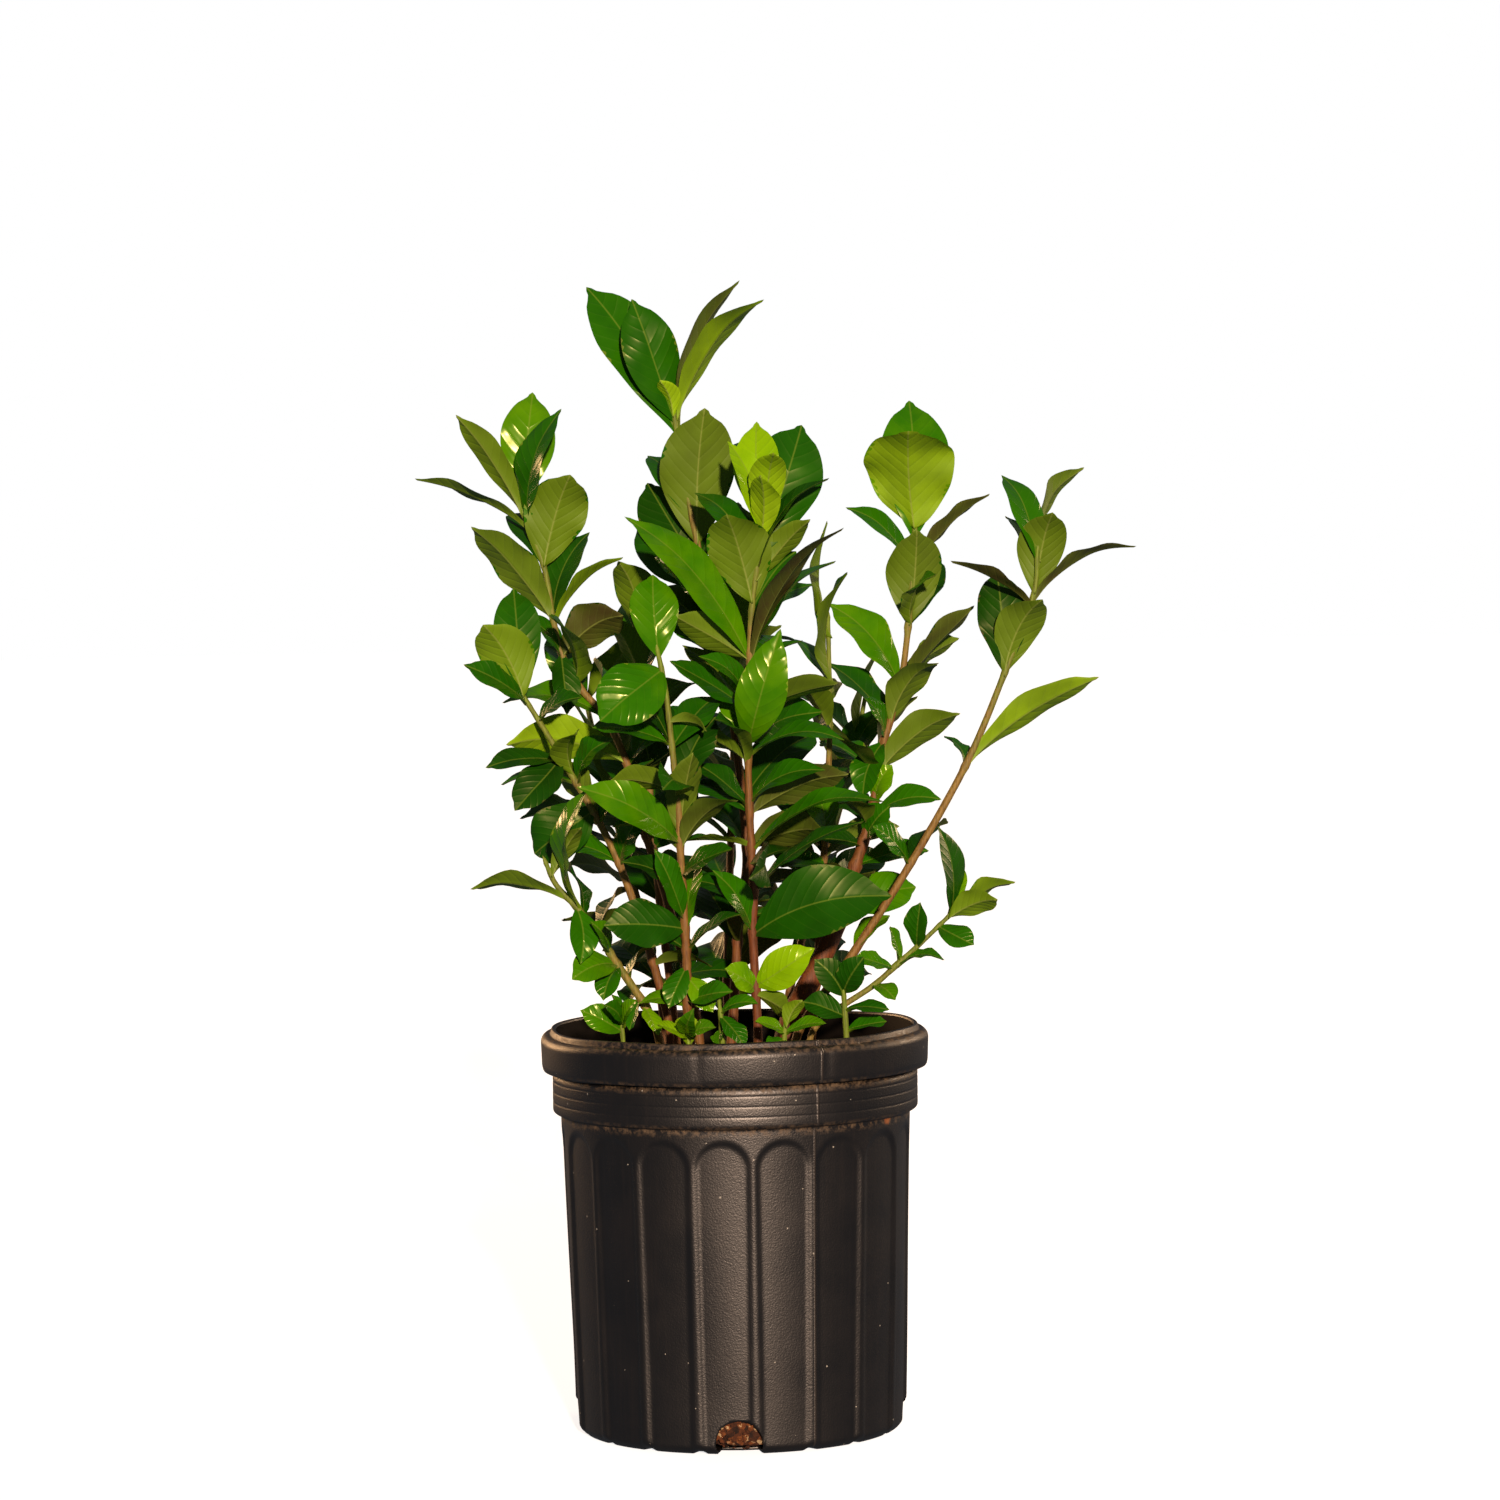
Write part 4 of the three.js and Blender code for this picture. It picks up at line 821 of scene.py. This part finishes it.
def paired_leaves(points, run, draws):
    """Opposite pairs up a cane, each turned a quarter from the one below, paler and steeper towards
    the tip."""
    first, last, step, usual, heading, run_rise = run
    blades = []
    for height in range(first, last + 1, step):
        share = (height - first) / (last - first)
        tone = 0.15 + 0.45 * share**2
        for half_turn in (0, 180):
            bearing = math.radians(heading + half_turn + draws.within(HEADING_DRAW))
            rise = run_rise * (LOWEST_RISE + (TOP_RISE - LOWEST_RISE) * share)
            rise = math.radians(rise + draws.within(RISE_DRAW))
            length = usual * draws.within(LENGTH_DRAW)
            flat = length * math.cos(rise)
            reach = np.array([math.sin(bearing) * flat, -math.cos(bearing) * flat, length * math.sin(rise)])
            turn = natural_turn(reach) + draws.within(TURN_DRAW)
            base = point_at_height(points, height)
            blades.append(new_blade(base, reach, PAIR_WIDTH * length, turn, tone, True, None, draws))
        heading += 90
    return blades


def place_leaves(lines):
    """All leaves, cane by cane: first those listed one by one, which give way forwards or backwards, then the
    pairs, which give way round their cane."""
    crowd, draws = Crowd(lines), Draws(SEED)
    placed = [[] for _ in CANES]
    for owner, (_, _, leaves, _) in enumerate(CANES):
        for blade in hand_leaves(lines[owner][0], leaves, draws):
            placed[owner].append(placed_blade(blade, owner, crowd, bend_deep))
    for owner, (_, _, _, runs) in enumerate(CANES):
        for run in runs:
            for blade in paired_leaves(lines[owner][0], run, draws):
                placed[owner].append(placed_blade(blade, owner, crowd, bend_round))
    return [[blade for blade in blades if blade] for blades in placed]


# Leaves


def leaf_rows(length):
    """Shares along a leaf, closer together at its foot and its point."""
    count = 12 if length < 32 else 18 if length < 60 else 24
    step = np.arange(count) / count
    return 0.55 * step + 0.45 * (1 - np.cos(np.pi * step)) / 2


def leaf_points(blade, vary):
    """One leaf's upper and lower points, its tip, and what its finish reads at each: the count of side
    veins and the map's two values.

    The midrib is the source's: the straight reach plus a bow. To it come a sideways sweep, a twist and a
    nodding point. Each half rises from the midrib by the source's fold, rounded, with rolled and waved
    margins. A posed leaf has its own fold and bow, and is raised towards its tip and rolled towards one
    margin by shares of what would turn it to the sunlit facing. The outline is the source's, pinched in
    just short of the point and fuller on broad leaves. The underside lies a leaf's thickness below,
    thicker along the midrib and at the stalk, and the thickness runs out at the margins."""
    length, width = np.linalg.norm(blade["reach"]), blade["width"]
    sweep, twist, nod, roll, wave, left_phase, right_phase, waves = vary.uniform(-1, 1, 8)
    s, v = leaf_rows(length)[:, None], LEAF_COLUMNS[None, :]
    # leaves broader than 0.42 of their length are fuller, and all are pinched in at 0.95 of it
    outline = blade_outline(s, SIDE_FULLNESS - 0.3 * np.clip((width / length - 0.42) / 0.4, 0, 1))
    outline = outline * (1 - 0.42 * np.exp(-(((s - 0.95) / 0.045) ** 2)))
    # the stalk gives way to the blade over the first 6 mm
    half = np.hypot(0.5 * width * outline, STALK_RADIUS * np.exp(-((s * length / 6) ** 2)))
    along, side, face = blade["frame"]
    fold, bow, raised, rolled = blade["posed"] or (BLADE_FOLD, blade["bow"], 0.0, 0.0)
    short, askew, square = np.array([along, side, face]) @ SUNLIT_FACING

    # how far the midrib lies out of the blade's plane, at shares along it: nodded and raised
    def midrib_lift(share):
        return -share * length * (NOD * (0.5 + nod) * smooth(0.6, 1.1, share) + raised * short / square)

    lift = 4 * bow * length * s * (1 - s) + midrib_lift(s)
    lift = lift + fold * half * (np.sqrt(v**2 + 0.015) - math.sqrt(0.015))
    lift = lift - MARGIN_ROLL * (0.35 + roll) * half * v**4
    # each margin has 1.5 to 2.7 waves with a phase of its own
    phase = np.where(v < 0, left_phase, right_phase) * np.pi
    waved = np.sin(2 * np.pi * (2.1 + 0.6 * waves) * s + phase) * np.abs(v) ** 2.5
    lift = lift + (MARGIN_WAVE + 0.05 * wave) * half * waved
    groove = np.exp(-((v * half / MIDRIB_WIDTH) ** 2))
    angle = TWIST * twist * (s - 0.3)
    out = v * half * np.cos(angle)
    lift = lift + v * half * np.sin(angle) - rolled * askew * out / square - MIDRIB_GROOVE * groove
    swung = SWEEP * sweep * length * 4 * s * (1 - s)
    spine = blade["base"] + s[..., None] * blade["reach"]
    upper = spine + (out + swung)[..., None] * side + lift[..., None] * face
    stalk = np.exp(-((s * length / 7) ** 2))
    depth = (LEAF_THICKNESS + stalk) * np.sqrt(np.maximum(0, 1 - v**2))
    depth = depth + MIDRIB_RIDGE * (1 - 0.75 * s) * groove * (np.abs(v) < 1)
    lower = upper - depth[..., None] * face
    # side veins leave the midrib forwards, seven on a short leaf and one more for each 26 mm
    slant = 0.5 * width / length * outline * np.abs(v) * (0.75 + 0.3 * np.abs(v))
    veins = (6.5 + length / 26) * (s - slant)
    reads = np.stack(np.broadcast_arrays(veins, s * length / MAP_UNIT, v * half / MAP_UNIT), axis=-1)
    tip = blade["base"] + blade["reach"] + midrib_lift(1.0) * face
    return upper, lower, reads, np.array([*tip, veins.max(), length / MAP_UNIT, 0.0])


def leaf_mesh(blades, vary):
    """All leaves of a cane: points, faces, each face's side, the map and marks, and the margins' points.

    Each leaf is a flattened tube. Its rows run over the upper side from margin to margin and back along
    the underside, and it ends in one point and a flat foot."""
    columns = len(LEAF_COLUMNS) - 1
    ring = 2 * columns
    under = np.arange(ring) >= columns
    inner = np.arange(1, columns - 1)
    foot = np.stack([inner + 1, inner, ring - inner, ring - inner - 1], axis=1)
    foot_ends = np.array([(1, 0, ring - 1), (columns, columns - 1, columns + 1)])
    points, quads, triangles, quad_looks, triangle_looks, tones, margins = [], [], [], [], [], [], []
    start = 0
    for blade in blades:
        upper, lower, reads, tip = leaf_points(blade, vary)
        over, below = np.dstack([upper, reads]), np.dstack([lower, reads])
        rows = len(upper)
        end = rows * ring
        points += [np.hstack([over, below[:, -2:0:-1]]).reshape(end, 6), tip[None]]
        tone = np.clip(blade["tone"] + vary.uniform(-0.08, 0.1), 0, 1)
        tones.append(np.full(end + 1, tone))
        around = np.roll(tube_faces(rows, ring), -1, axis=1)
        point = end_fans(rows, ring)[ring:] - [0, 0, 1]
        quads += [start + around, start + foot]
        quad_looks += [np.tile(under, rows - 1), np.ones(len(foot))]
        triangles += [start + point, start + foot_ends]
        triangle_looks += [under, np.ones(2)]
        margins += [start + np.arange(0, end, columns), [start + end]]
        start += end + 1
    points, faces = np.concatenate(points), [np.concatenate(quads), np.concatenate(triangles)]
    corners = np.concatenate([group.ravel() for group in faces])
    marks = {"vein": points[:, 3], "tone": np.concatenate(tones)}
    looks = np.concatenate(quad_looks + triangle_looks)
    return points[:, :3], faces, looks, points[corners, 4:], marks, np.concatenate(margins)


def keep_margins_crisp(piece, margins):
    """Shades the two sides of a leaf apart, so that its thin margin doesn't look rounded."""
    mesh = piece.data
    on_margin = np.zeros(len(mesh.vertices), dtype=bool)
    on_margin[margins] = True
    ends = np.empty(2 * len(mesh.edges), dtype=np.int32)
    mesh.edges.foreach_get("vertices", ends)
    sharp = on_margin[ends.reshape(-1, 2)].all(axis=1)
    mesh.attributes.new("sharp_edge", "BOOLEAN", "EDGE").data.foreach_set("value", sharp)


# Stems


def stem_mesh(points, radii, heights, old, rough):
    """A round stem along its line, with a bud drawn to a point over its end and a slight ring at each pair
    of leaves. old is how brown its foot is, and rough how deep its bark is furrowed."""
    steps = np.linalg.norm(np.diff(points, axis=0), axis=1)
    travelled = np.concatenate([[0], np.cumsum(steps)])
    even = np.linspace(0, travelled[-1], max(8, int(travelled[-1] / 4)))  # a row each 4 mm
    centre = np.stack([np.interp(even, travelled, points[:, k]) for k in range(3)], axis=1)
    radius = np.interp(even, travelled, radii)
    marked = np.array([np.interp(height, points[:, 2], travelled) for height in heights])
    rings = np.exp(-(((even[:, None] - marked[None]) / 1.8) ** 2)).max(axis=1)
    radius = radius * (1 + 0.28 * rings)
    heading = unit(centre[-1] - centre[-2])
    bud = np.array([0.8, 2.5, 5.0, 7.0])
    centre = np.vstack([centre, centre[-1] + bud[:, None] * heading])
    radius = np.concatenate([radius, radii[-1] * np.array([1.05, 1.15, 0.75, 0.2])])
    even = np.concatenate([even, even[-1] + bud])
    tangent = unit(np.gradient(centre, axis=0))
    side = unit(np.cross(tangent, [0.0, 1.0, 0.0]))
    other = np.cross(tangent, side)
    sides = 16 if radii.max() > 4 else 10
    angle = 2 * np.pi * np.arange(sides) / sides
    ring = np.cos(angle)[None, :, None] * side[:, None] + np.sin(angle)[None, :, None] * other[:, None]
    surface = centre[:, None] + ring * radius[:, None, None]
    # furrows run along the stem, four times as long as wide
    bark = lumps(surface * np.array([1, 1, 0.25]), 3.5, 3) + 0.5 * lumps(surface, 1.6, 4)
    surface = surface + ring * (rough * radius[:, None] * bark)[..., None]
    rows = len(surface)
    places = np.concatenate([surface.reshape(-1, 3), centre[:1], centre[-1:] + 0.6 * heading])
    age = old * smooth(-30, 260, even[-1] - even)
    age = np.concatenate([np.repeat(age, sides), [old, 0.0]])
    return places, [tube_faces(rows, sides), end_fans(rows, sides)], {"age": age}


def make_canes():
    """Each cane's leaves and each cane's stem, which together stand for its solid."""
    lines = [cane_line(route) for _, route, _, _ in CANES]
    leaves = place_leaves(lines)
    vary = np.random.default_rng(LOOK_SEED)
    for (name, _, _, _), line, blades in zip(CANES, lines, leaves):
        places, faces, looks, round_map, marks, margins = leaf_mesh(blades, vary)
        piece = add_piece(name + "_leaves", places, faces, [UPPER_FINISH, UNDER_FINISH], [name],
                          looks, round_map, marks)
        keep_margins_crisp(piece, margins)
        heights = sorted({blade["base"][2] for blade in blades})
        old = SPRIG_AGE if name.startswith("sprig") else CANE_AGES.get(name, INNER_AGE)
        rough = TRUNK_FURROWS if name == "trunk_right" else CANE_FURROWS
        places, faces, marks = stem_mesh(*line, heights, old, rough)
        add_piece(name + "_stem", places, faces, [WOOD_FINISH], [name], marks=marks)


# Pot


def filleted(corners, step=1.2):
    """A profile through corners given as (radius, height, fillet): each corner is rounded by a curve
    that leaves and joins its sides a fillet's length away."""
    points = []
    spots = np.array([corner[:2] for corner in corners], dtype=float)
    for k, (_, _, fillet) in enumerate(corners):
        if fillet == 0 or k in (0, len(corners) - 1):
            points.append(spots[k])
            continue
        start = spots[k] + fillet * unit(spots[k - 1] - spots[k])
        end = spots[k] + fillet * unit(spots[k + 1] - spots[k])
        count = max(3, math.ceil(1.6 * fillet / step) + 1)
        for t in np.linspace(0, 1, count):
            points.append((1 - t) ** 2 * start + 2 * t * (1 - t) * spots[k] + t**2 * end)
    return np.array(points)


def outward(profile):
    """Directions out of a profile that runs up its outside, as columns of radius and height parts."""
    tangent = unit(np.gradient(profile, axis=0))
    return tangent[:, 1:], -tangent[:, :1]


def wall_profile(heights, behind):
    """The tapering wall at some heights, or a surface that lies some millimetres behind it."""
    slope = (BODY_TOP_RADIUS - BODY_BOTTOM_RADIUS) / (BAND_BOTTOM - 1 - CORNER_RADIUS)
    return np.stack([BODY_BOTTOM_RADIUS - behind + slope * (heights - CORNER_RADIUS), heights], axis=1)


def turn_from_nearest(bearing, first, count):
    """Degrees to a bearing from the nearest of a number of even places round the pot."""
    pitch = 360 / count
    return (bearing - first + pitch / 2) % pitch - pitch / 2


def flute_share(bearing, height):
    """1 inside a flute, 0 on the lands, and a soft bevel between. A flute is a tapering upright panel with
    a half-round top, measured at a radius of 100 mm."""
    across = np.radians(turn_from_nearest(bearing, FIRST_FLUTE, FLUTE_COUNT)) * 100.0
    taper = BODY_BOTTOM_RADIUS / BODY_TOP_RADIUS
    share = np.clip((height - CORNER_RADIUS) / (FLUTE_TOP - CORNER_RADIUS), 0, 1)
    wide = FLUTE_HALF_WIDTH * (taper + (1 - taper) * share)
    above = np.maximum(0, height - (FLUTE_TOP - FLUTE_HALF_WIDTH))
    return smooth(-1.2, 2.2, wide - np.hypot(across, above))


def body_profile():
    """The body's outside from the middle of its base up to the rim: a base raised by 1.6 mm within its
    standing ring, a quarter-round corner, the wall, and the band with its three grooves."""
    arc = np.radians(np.arange(0, 91, 9))
    corner = np.stack([FOOT_RADIUS + CORNER_RADIUS * np.sin(arc), CORNER_RADIUS * (1 - np.cos(arc))], axis=1)
    base = np.array([[4.0, 1.6], [40, 1.6], [66, 1.6], [70, 0.6], [74, 0.1], [79, 0.0]])
    # rows are closer where the drain notches and the flutes' tops are
    heights = np.concatenate([np.arange(7.5, 24, 1.5), np.arange(26, 158, 9.0), np.arange(160, 186.5, 1.5)])
    grooves = []
    for height in BAND_GROOVES:
        grooves += [(BAND_RADIUS, height - 0.9, 0.3), (BAND_RADIUS - GROOVE_DEPTH, height, 0.35),
                    (BAND_RADIUS, height + 0.9, 0.3)]
    band = filleted([
        (BODY_TOP_RADIUS - 0.05, BAND_BOTTOM - 2.4, 0), (BODY_TOP_RADIUS, BAND_BOTTOM - 0.6, 0.8),
        (BAND_RADIUS, BAND_BOTTOM + 0.3, 2.4), *grooves, (BAND_RADIUS - 0.1, RIM_BOTTOM - 0.5, 0)])
    return np.concatenate([base, corner, wall_profile(heights, 0), band])


def make_pot_body():
    """The blown body: base, rolled corner, fluted wall, shoulder and grooved band as one thin shell.

    A profile is turned about Z. Within the flutes it is pressed in along its own normal, and at the
    lands the foot is lifted a little. The inside is the same sheet 2 mm in. Quads within the drain notches
    are left out, with the nearest points moved on to the notch's round edge, and all open edges of the
    two sheets are joined."""
    profile = body_profile()
    normal_r, normal_z = outward(profile)
    theta, radius, height = turned(profile, BODY_COLUMNS)
    flute = flute_share(np.degrees(theta), height)
    on_wall = smooth(FOOT_RADIUS - 2, FOOT_RADIUS + 5, radius) * (height < BAND_BOTTOM - 4)
    pressed = FLUTE_DEPTH * flute * on_wall
    low = smooth(26, 4, height) * smooth(80, 95, radius)
    lifted = FOOT_LIFT * (1 - flute) * low * smooth(30, 2, height)
    # the wall isn't quite true: up to three quarters of a millimetre in and out round the pot
    wobble = 0.45 * np.sin(2 * theta + 0.6) + 0.3 * np.sin(5 * theta + height / 45)
    outer_r = radius - pressed * normal_r + wobble * smooth(2, 60, height)
    outer_z = height - pressed * normal_z + lifted
    # snap to the drain notches, which are round seen from the front
    turn = turn_from_nearest(np.degrees(theta), FIRST_DRAIN, DRAIN_COUNT)
    across, above = np.radians(turn) * np.maximum(outer_r, 60), outer_z - DRAIN_CENTRE_HEIGHT
    reach = np.hypot(across, above)
    notch = (radius > FOOT_RADIUS - 2) & (height < 30)
    close = notch & (np.abs(reach - DRAIN_RADIUS) < NOTCH_SNAP)
    scale = np.where(close, DRAIN_RADIUS / np.maximum(reach, 1e-6), 1.0)
    theta = theta + across * (scale - 1) / np.maximum(outer_r, 60)
    outer_z = np.where(height > 4, outer_z + above * (scale - 1), outer_z)
    inside = notch & (reach < DRAIN_RADIUS - NOTCH_SNAP)
    inner_r, inner_z = np.maximum(outer_r - BODY_WALL * normal_r, 1), outer_z - BODY_WALL * normal_z
    places = np.stack([round_z(outer_r, theta, outer_z), round_z(inner_r, theta, inner_z)]).reshape(-1, 3)
    quads = tube_faces(len(profile), BODY_COLUMNS)
    quads = quads[~(inside.ravel()[quads].any(axis=1))]
    total = theta.size
    # an edge that only one quad has is open
    edges = np.concatenate([quads[:, [0, 1]], quads[:, [1, 2]], quads[:, [2, 3]], quads[:, [3, 0]]])
    _, first, counts = np.unique(np.sort(edges) @ [total, 1], return_index=True, return_counts=True)
    start, end = edges[first[counts == 1]].T
    joins = np.stack([end, start, start + total, end + total], axis=1)
    faces = np.concatenate([quads, quads[:, ::-1] + total, joins])
    looks = np.repeat([0, 1, 0], [len(quads), len(quads), len(joins)])
    # a face over the seam of the map counts on past its last column
    column = faces % total % BODY_COLUMNS
    wraps = column.max(axis=1) - column.min(axis=1) > BODY_COLUMNS / 2
    column = column + BODY_COLUMNS * (wraps[:, None] & (column < BODY_COLUMNS / 2))
    round_map = np.stack([column / BODY_COLUMNS, places[faces, 2] / 1000], axis=-1)
    used, renumbered = np.unique(faces, return_inverse=True)
    add_piece("pot_body", places[used], [renumbered.reshape(faces.shape)], [POT_FINISH, INNER_FINISH],
              ["pot"], looks, round_map)


def make_pot_rim():
    """The rolled rim with its ledge and inner lip: a closed profile turned about Z, and raised and lowered a
    little round the pot, as blown rims are."""
    profile = filleted([
        (106.3, 208.5, 0), (107.9, 213.5, 0.8), (108.9, 215.2, 0.4), (113.8, 215.3, 1.0), (114.8, 218.5, 1.4),
        (115.6, 233.6, 2.2), (112.8, 236.6, 1.6), (110.0, 236.2, 0.8), (109.2, 239.6, 0.7),
        (107.6, 240.2, 0.8), (106.4, 238.6, 0.8), (105.6, 226.0, 3.0), (104.9, 207.0, 0.4),
        (106.3, 208.5, 0)], 1.0)[:-1]
    theta, radius, height = turned(profile, RIM_COLUMNS)
    share = smooth(211, 226, height)
    wave = 0.7 * np.sin(2 * theta - 0.7) + 0.45 * np.sin(3 * theta + 1.9) + 0.3 * np.sin(7 * theta)
    radius = radius + share * (0.5 * np.sin(2 * theta + 0.6) + 0.35 * np.sin(6 * theta + 1.0))
    # two soft steps where the mould's slides met
    for bearing, deep in ((SLIDE_BEARING, 0.5), (SEAM_BEARING + 2, 0.6)):
        turn = turn_from_nearest(np.degrees(theta), bearing, 1)
        radius = radius - deep * share * np.exp(-((turn / 1.1) ** 2)) * smooth(216, 221, height)
    places = round_z(radius, theta, height + share * wave).reshape(-1, 3)
    rows = len(profile)
    faces = tube_faces(rows, RIM_COLUMNS, ring=True)
    column = faces[:, :1] % RIM_COLUMNS + [0, 1, 1, 0]
    round_map = np.stack([column / RIM_COLUMNS, places[faces, 2] / 1000], axis=-1)
    on_lip = profile[:, 0] < INNER_LIP_RADIUS
    looks = np.repeat(on_lip & np.roll(on_lip, -1), RIM_COLUMNS)
    add_piece("pot_rim", places, [faces], [POT_FINISH, INNER_FINISH], ["pot"], looks, round_map)


# Mix


def mix_surface(radius):
    """The height of the mix's top: a crown that falls away to the wall, 1.5 mm under the source's."""
    return SOIL_HEIGHT - MIX_BELOW_SOURCE + SOIL_CROWN * (1 - (radius / 103) ** 2)


def make_mix():
    """The mix: a turned plug that fills the pot, its top and sides pushed in and out by crumbly lumps."""
    corner = np.array([[86, 4.4], [90, 5.5], [92.5, 10], [93.8, 17], [94.6, 24]])
    quarters = np.arange(0, len(corner) - 0.9, 0.25)
    side = np.stack([np.interp(quarters, np.arange(len(corner)), values) for values in corner.T], axis=1)
    top_radii = np.linspace(103.2, 0.5, 64)
    top = np.stack([top_radii, mix_surface(top_radii)], axis=1)
    wall = wall_profile(np.linspace(32, 188, 20), MIX_BEHIND_WALL)
    profile = np.concatenate([[[0.5, 4.4], [40, 4.4]], side, wall, [[103.8, 204]], top])
    theta, radius, height = turned(profile, MIX_COLUMNS)
    flat = round_z(radius, theta, height)
    rough = 1.6 * lumps(flat, 9, 11) + 1.1 * lumps(flat, 4, 12) + 0.6 * lumps(flat, 2, 13)
    normal_r, normal_z = outward(profile)
    near_top = smooth(202, 210, height) * smooth(0, 6, radius)
    near_foot = smooth(30, 20, height) * smooth(80, 90, radius)
    push = rough * np.maximum(near_top, 0.8 * near_foot)
    radius = radius + np.minimum(push * normal_r, 0.6) * (near_foot + 0.3 * near_top)
    height = height + push * normal_z
    ends = [[0, 0, profile[0, 1]], [0, 0, height[-1].mean()]]
    places = np.concatenate([round_z(radius, theta, height).reshape(-1, 3), ends])
    rows = len(profile)
    add_piece("bark_mix", places, [tube_faces(rows, MIX_COLUMNS), end_fans(rows, MIX_COLUMNS)], [MIX_FINISH],
              ["soil"])


def make_crumbs():
    """Loose crumbs of bark on the mix and in the drain notches: each is a squashed, turned
    twenty-sided lump, with its middle 0.6 mm over the crown."""
    golden = (1 + 5**0.5) / 2
    corners = unit(np.array([np.roll([small, large, 0], shift) for shift in range(3)
                             for large in (golden, -golden) for small in (-1, 1)]))
    triangles = np.array([
        (0, 11, 5), (0, 5, 1), (0, 1, 7), (0, 7, 10), (0, 10, 11), (1, 5, 9), (5, 11, 4), (11, 10, 2),
        (10, 7, 6), (7, 1, 8), (3, 9, 4), (3, 4, 2), (3, 2, 6), (3, 6, 8), (3, 8, 9), (4, 9, 5), (2, 4, 11),
        (6, 2, 10), (8, 6, 7), (9, 8, 1)])
    rng = np.random.default_rng(SEED + 1)
    shape = corners[None] * (1 + 0.3 * rng.uniform(-1, 1, (CRUMB_COUNT, 12, 1)))
    shape = shape * rng.uniform(0.8, 1.0, (CRUMB_COUNT, 1, 1)) * np.array([1.0, 0.6, 0.35])
    shape = shape * (1.2 + 2.6 * rng.random((CRUMB_COUNT, 1, 1)) ** 2)
    heading, tilt = rng.uniform(0, 2 * np.pi, (CRUMB_COUNT, 2)).T[..., None]
    tilt = 0.5 * np.sin(tilt)
    x, y, z = np.moveaxis(shape, -1, 0)
    x, z = x * np.cos(tilt) - z * np.sin(tilt), x * np.sin(tilt) + z * np.cos(tilt)
    x, y = x * np.cos(heading) - y * np.sin(heading), x * np.sin(heading) + y * np.cos(heading)
    shape = np.stack([x, y, z], axis=-1)
    radius = 101 * np.sqrt(rng.random(CRUMB_COUNT))
    places = round_z(radius, rng.uniform(0, 2 * np.pi, CRUMB_COUNT), mix_surface(radius) + 0.6)
    # the last ones lie in the notches, on a slope just behind the wall
    notch = rng.integers(0, DRAIN_COUNT, CRUMBS_IN_DRAINS) * (360 / DRAIN_COUNT) + FIRST_DRAIN
    turn = np.radians(notch + rng.uniform(-7.2, 7.2, CRUMBS_IN_DRAINS))
    up = rng.uniform(3, 18, CRUMBS_IN_DRAINS)
    out = BODY_BOTTOM_RADIUS - 5.4 - 0.35 * np.maximum(0, 9 - up)
    places[-CRUMBS_IN_DRAINS:] = round_z(out, turn, up)
    points = (places[:, None] + shape).reshape(-1, 3)
    faces = (triangles[None] + 12 * np.arange(CRUMB_COUNT)[:, None, None]).reshape(-1, 3)
    add_piece("bark_crumbs", points, [faces], [MIX_FINISH])


# Floor, light and camera


def show(name, data, place=(0, 0, 0), facing=None):
    """Puts a mesh, a light or a camera in the scene, the last two turned by the quaternion facing."""
    holder = bpy.data.objects.new(name, data)
    holder.location = place
    if facing is not None:
        holder.rotation_mode = "QUATERNION"
        holder.rotation_quaternion = facing
    bpy.context.scene.collection.objects.link(holder)
    return holder


def make_stage():
    """A round pale floor, 40 m across, level with the pot's foot."""
    columns, floor = 96, bpy.data.meshes.new("floor")
    ring = round_z(20.0, 2 * np.pi * np.arange(columns) / columns, np.zeros(columns))
    floor.from_pydata(ring.tolist(), [], [list(range(columns))])
    floor.materials.append(acrylic_floor())
    piece = show("floor", floor)
    piece.visible_diffuse = piece.visible_glossy = False  # it doesn't light or mirror in the pot


def add_light(name, kind, bearing, rise, size, power, colour):
    """A light that looks at the plant's middle from 3 m off, at a bearing and a rise in degrees: a square
    softbox with its side in metres, or a sun with its width in degrees."""
    lamp = bpy.data.lights.new(name, kind)
    lamp.energy, lamp.color = power, linear(colour)[:3]
    if kind == "SUN":
        lamp.angle = math.radians(size)
    else:
        lamp.size = size
    a, e = math.radians(bearing), math.radians(rise)
    away = Vector((math.sin(a) * math.cos(e), -math.cos(a) * math.cos(e), math.sin(e)))
    show(name, lamp, Vector((0, 0, 0.32)) + away * 3.0, (-away).to_track_quat("-Z", "Y"))


def make_light():
    """A low warm key from the front, a warm softbox behind on each side, and a dim room that the camera
    sees as a white backdrop."""
    add_light("key", "SUN", 7, 14, 2.4, 4.1, "#ffdcc0")
    add_light("rim_left", "AREA", -138, 12, 0.9, 38, "#ffc890")
    add_light("rim_right", "AREA", 124, 16, 0.9, 30, "#ffd8b0")
    world = bpy.data.worlds.new("room")
    world.use_nodes = True
    tree = world.node_tree
    room = tree.nodes["Background"]
    feed(tree, room, {"Color": "#e8f0ff", "Strength": 0.1})
    backdrop = add_node(tree, "Background", ["#ffffff", 1.0])
    seen = add_node(tree, "LightPath", gives="Is Camera Ray")
    both = add_node(tree, "MixShader", [seen, room.outputs[0], backdrop])
    feed(tree, tree.nodes["World Output"], {"Surface": both})
    bpy.context.scene.world = world
    bpy.context.scene.view_settings.view_transform = "Standard"


def make_camera():
    camera = bpy.data.cameras.new("camera")
    camera.lens, camera.sensor_width = CAMERA_LENS, 36
    camera.clip_start, camera.clip_end = 0.1, 200
    look = Vector(CAMERA_AIM) - Vector(CAMERA_PLACE)
    roll = Matrix.Rotation(math.radians(CAMERA_ROLL), 3, "Z").to_quaternion()
    bpy.context.scene.camera = show("camera", camera, CAMERA_PLACE, look.to_track_quat("-Z", "Y") @ roll)


make_pot_body()
make_pot_rim()
make_mix()
make_crumbs()
make_canes()
make_stage()
make_light()
make_camera()
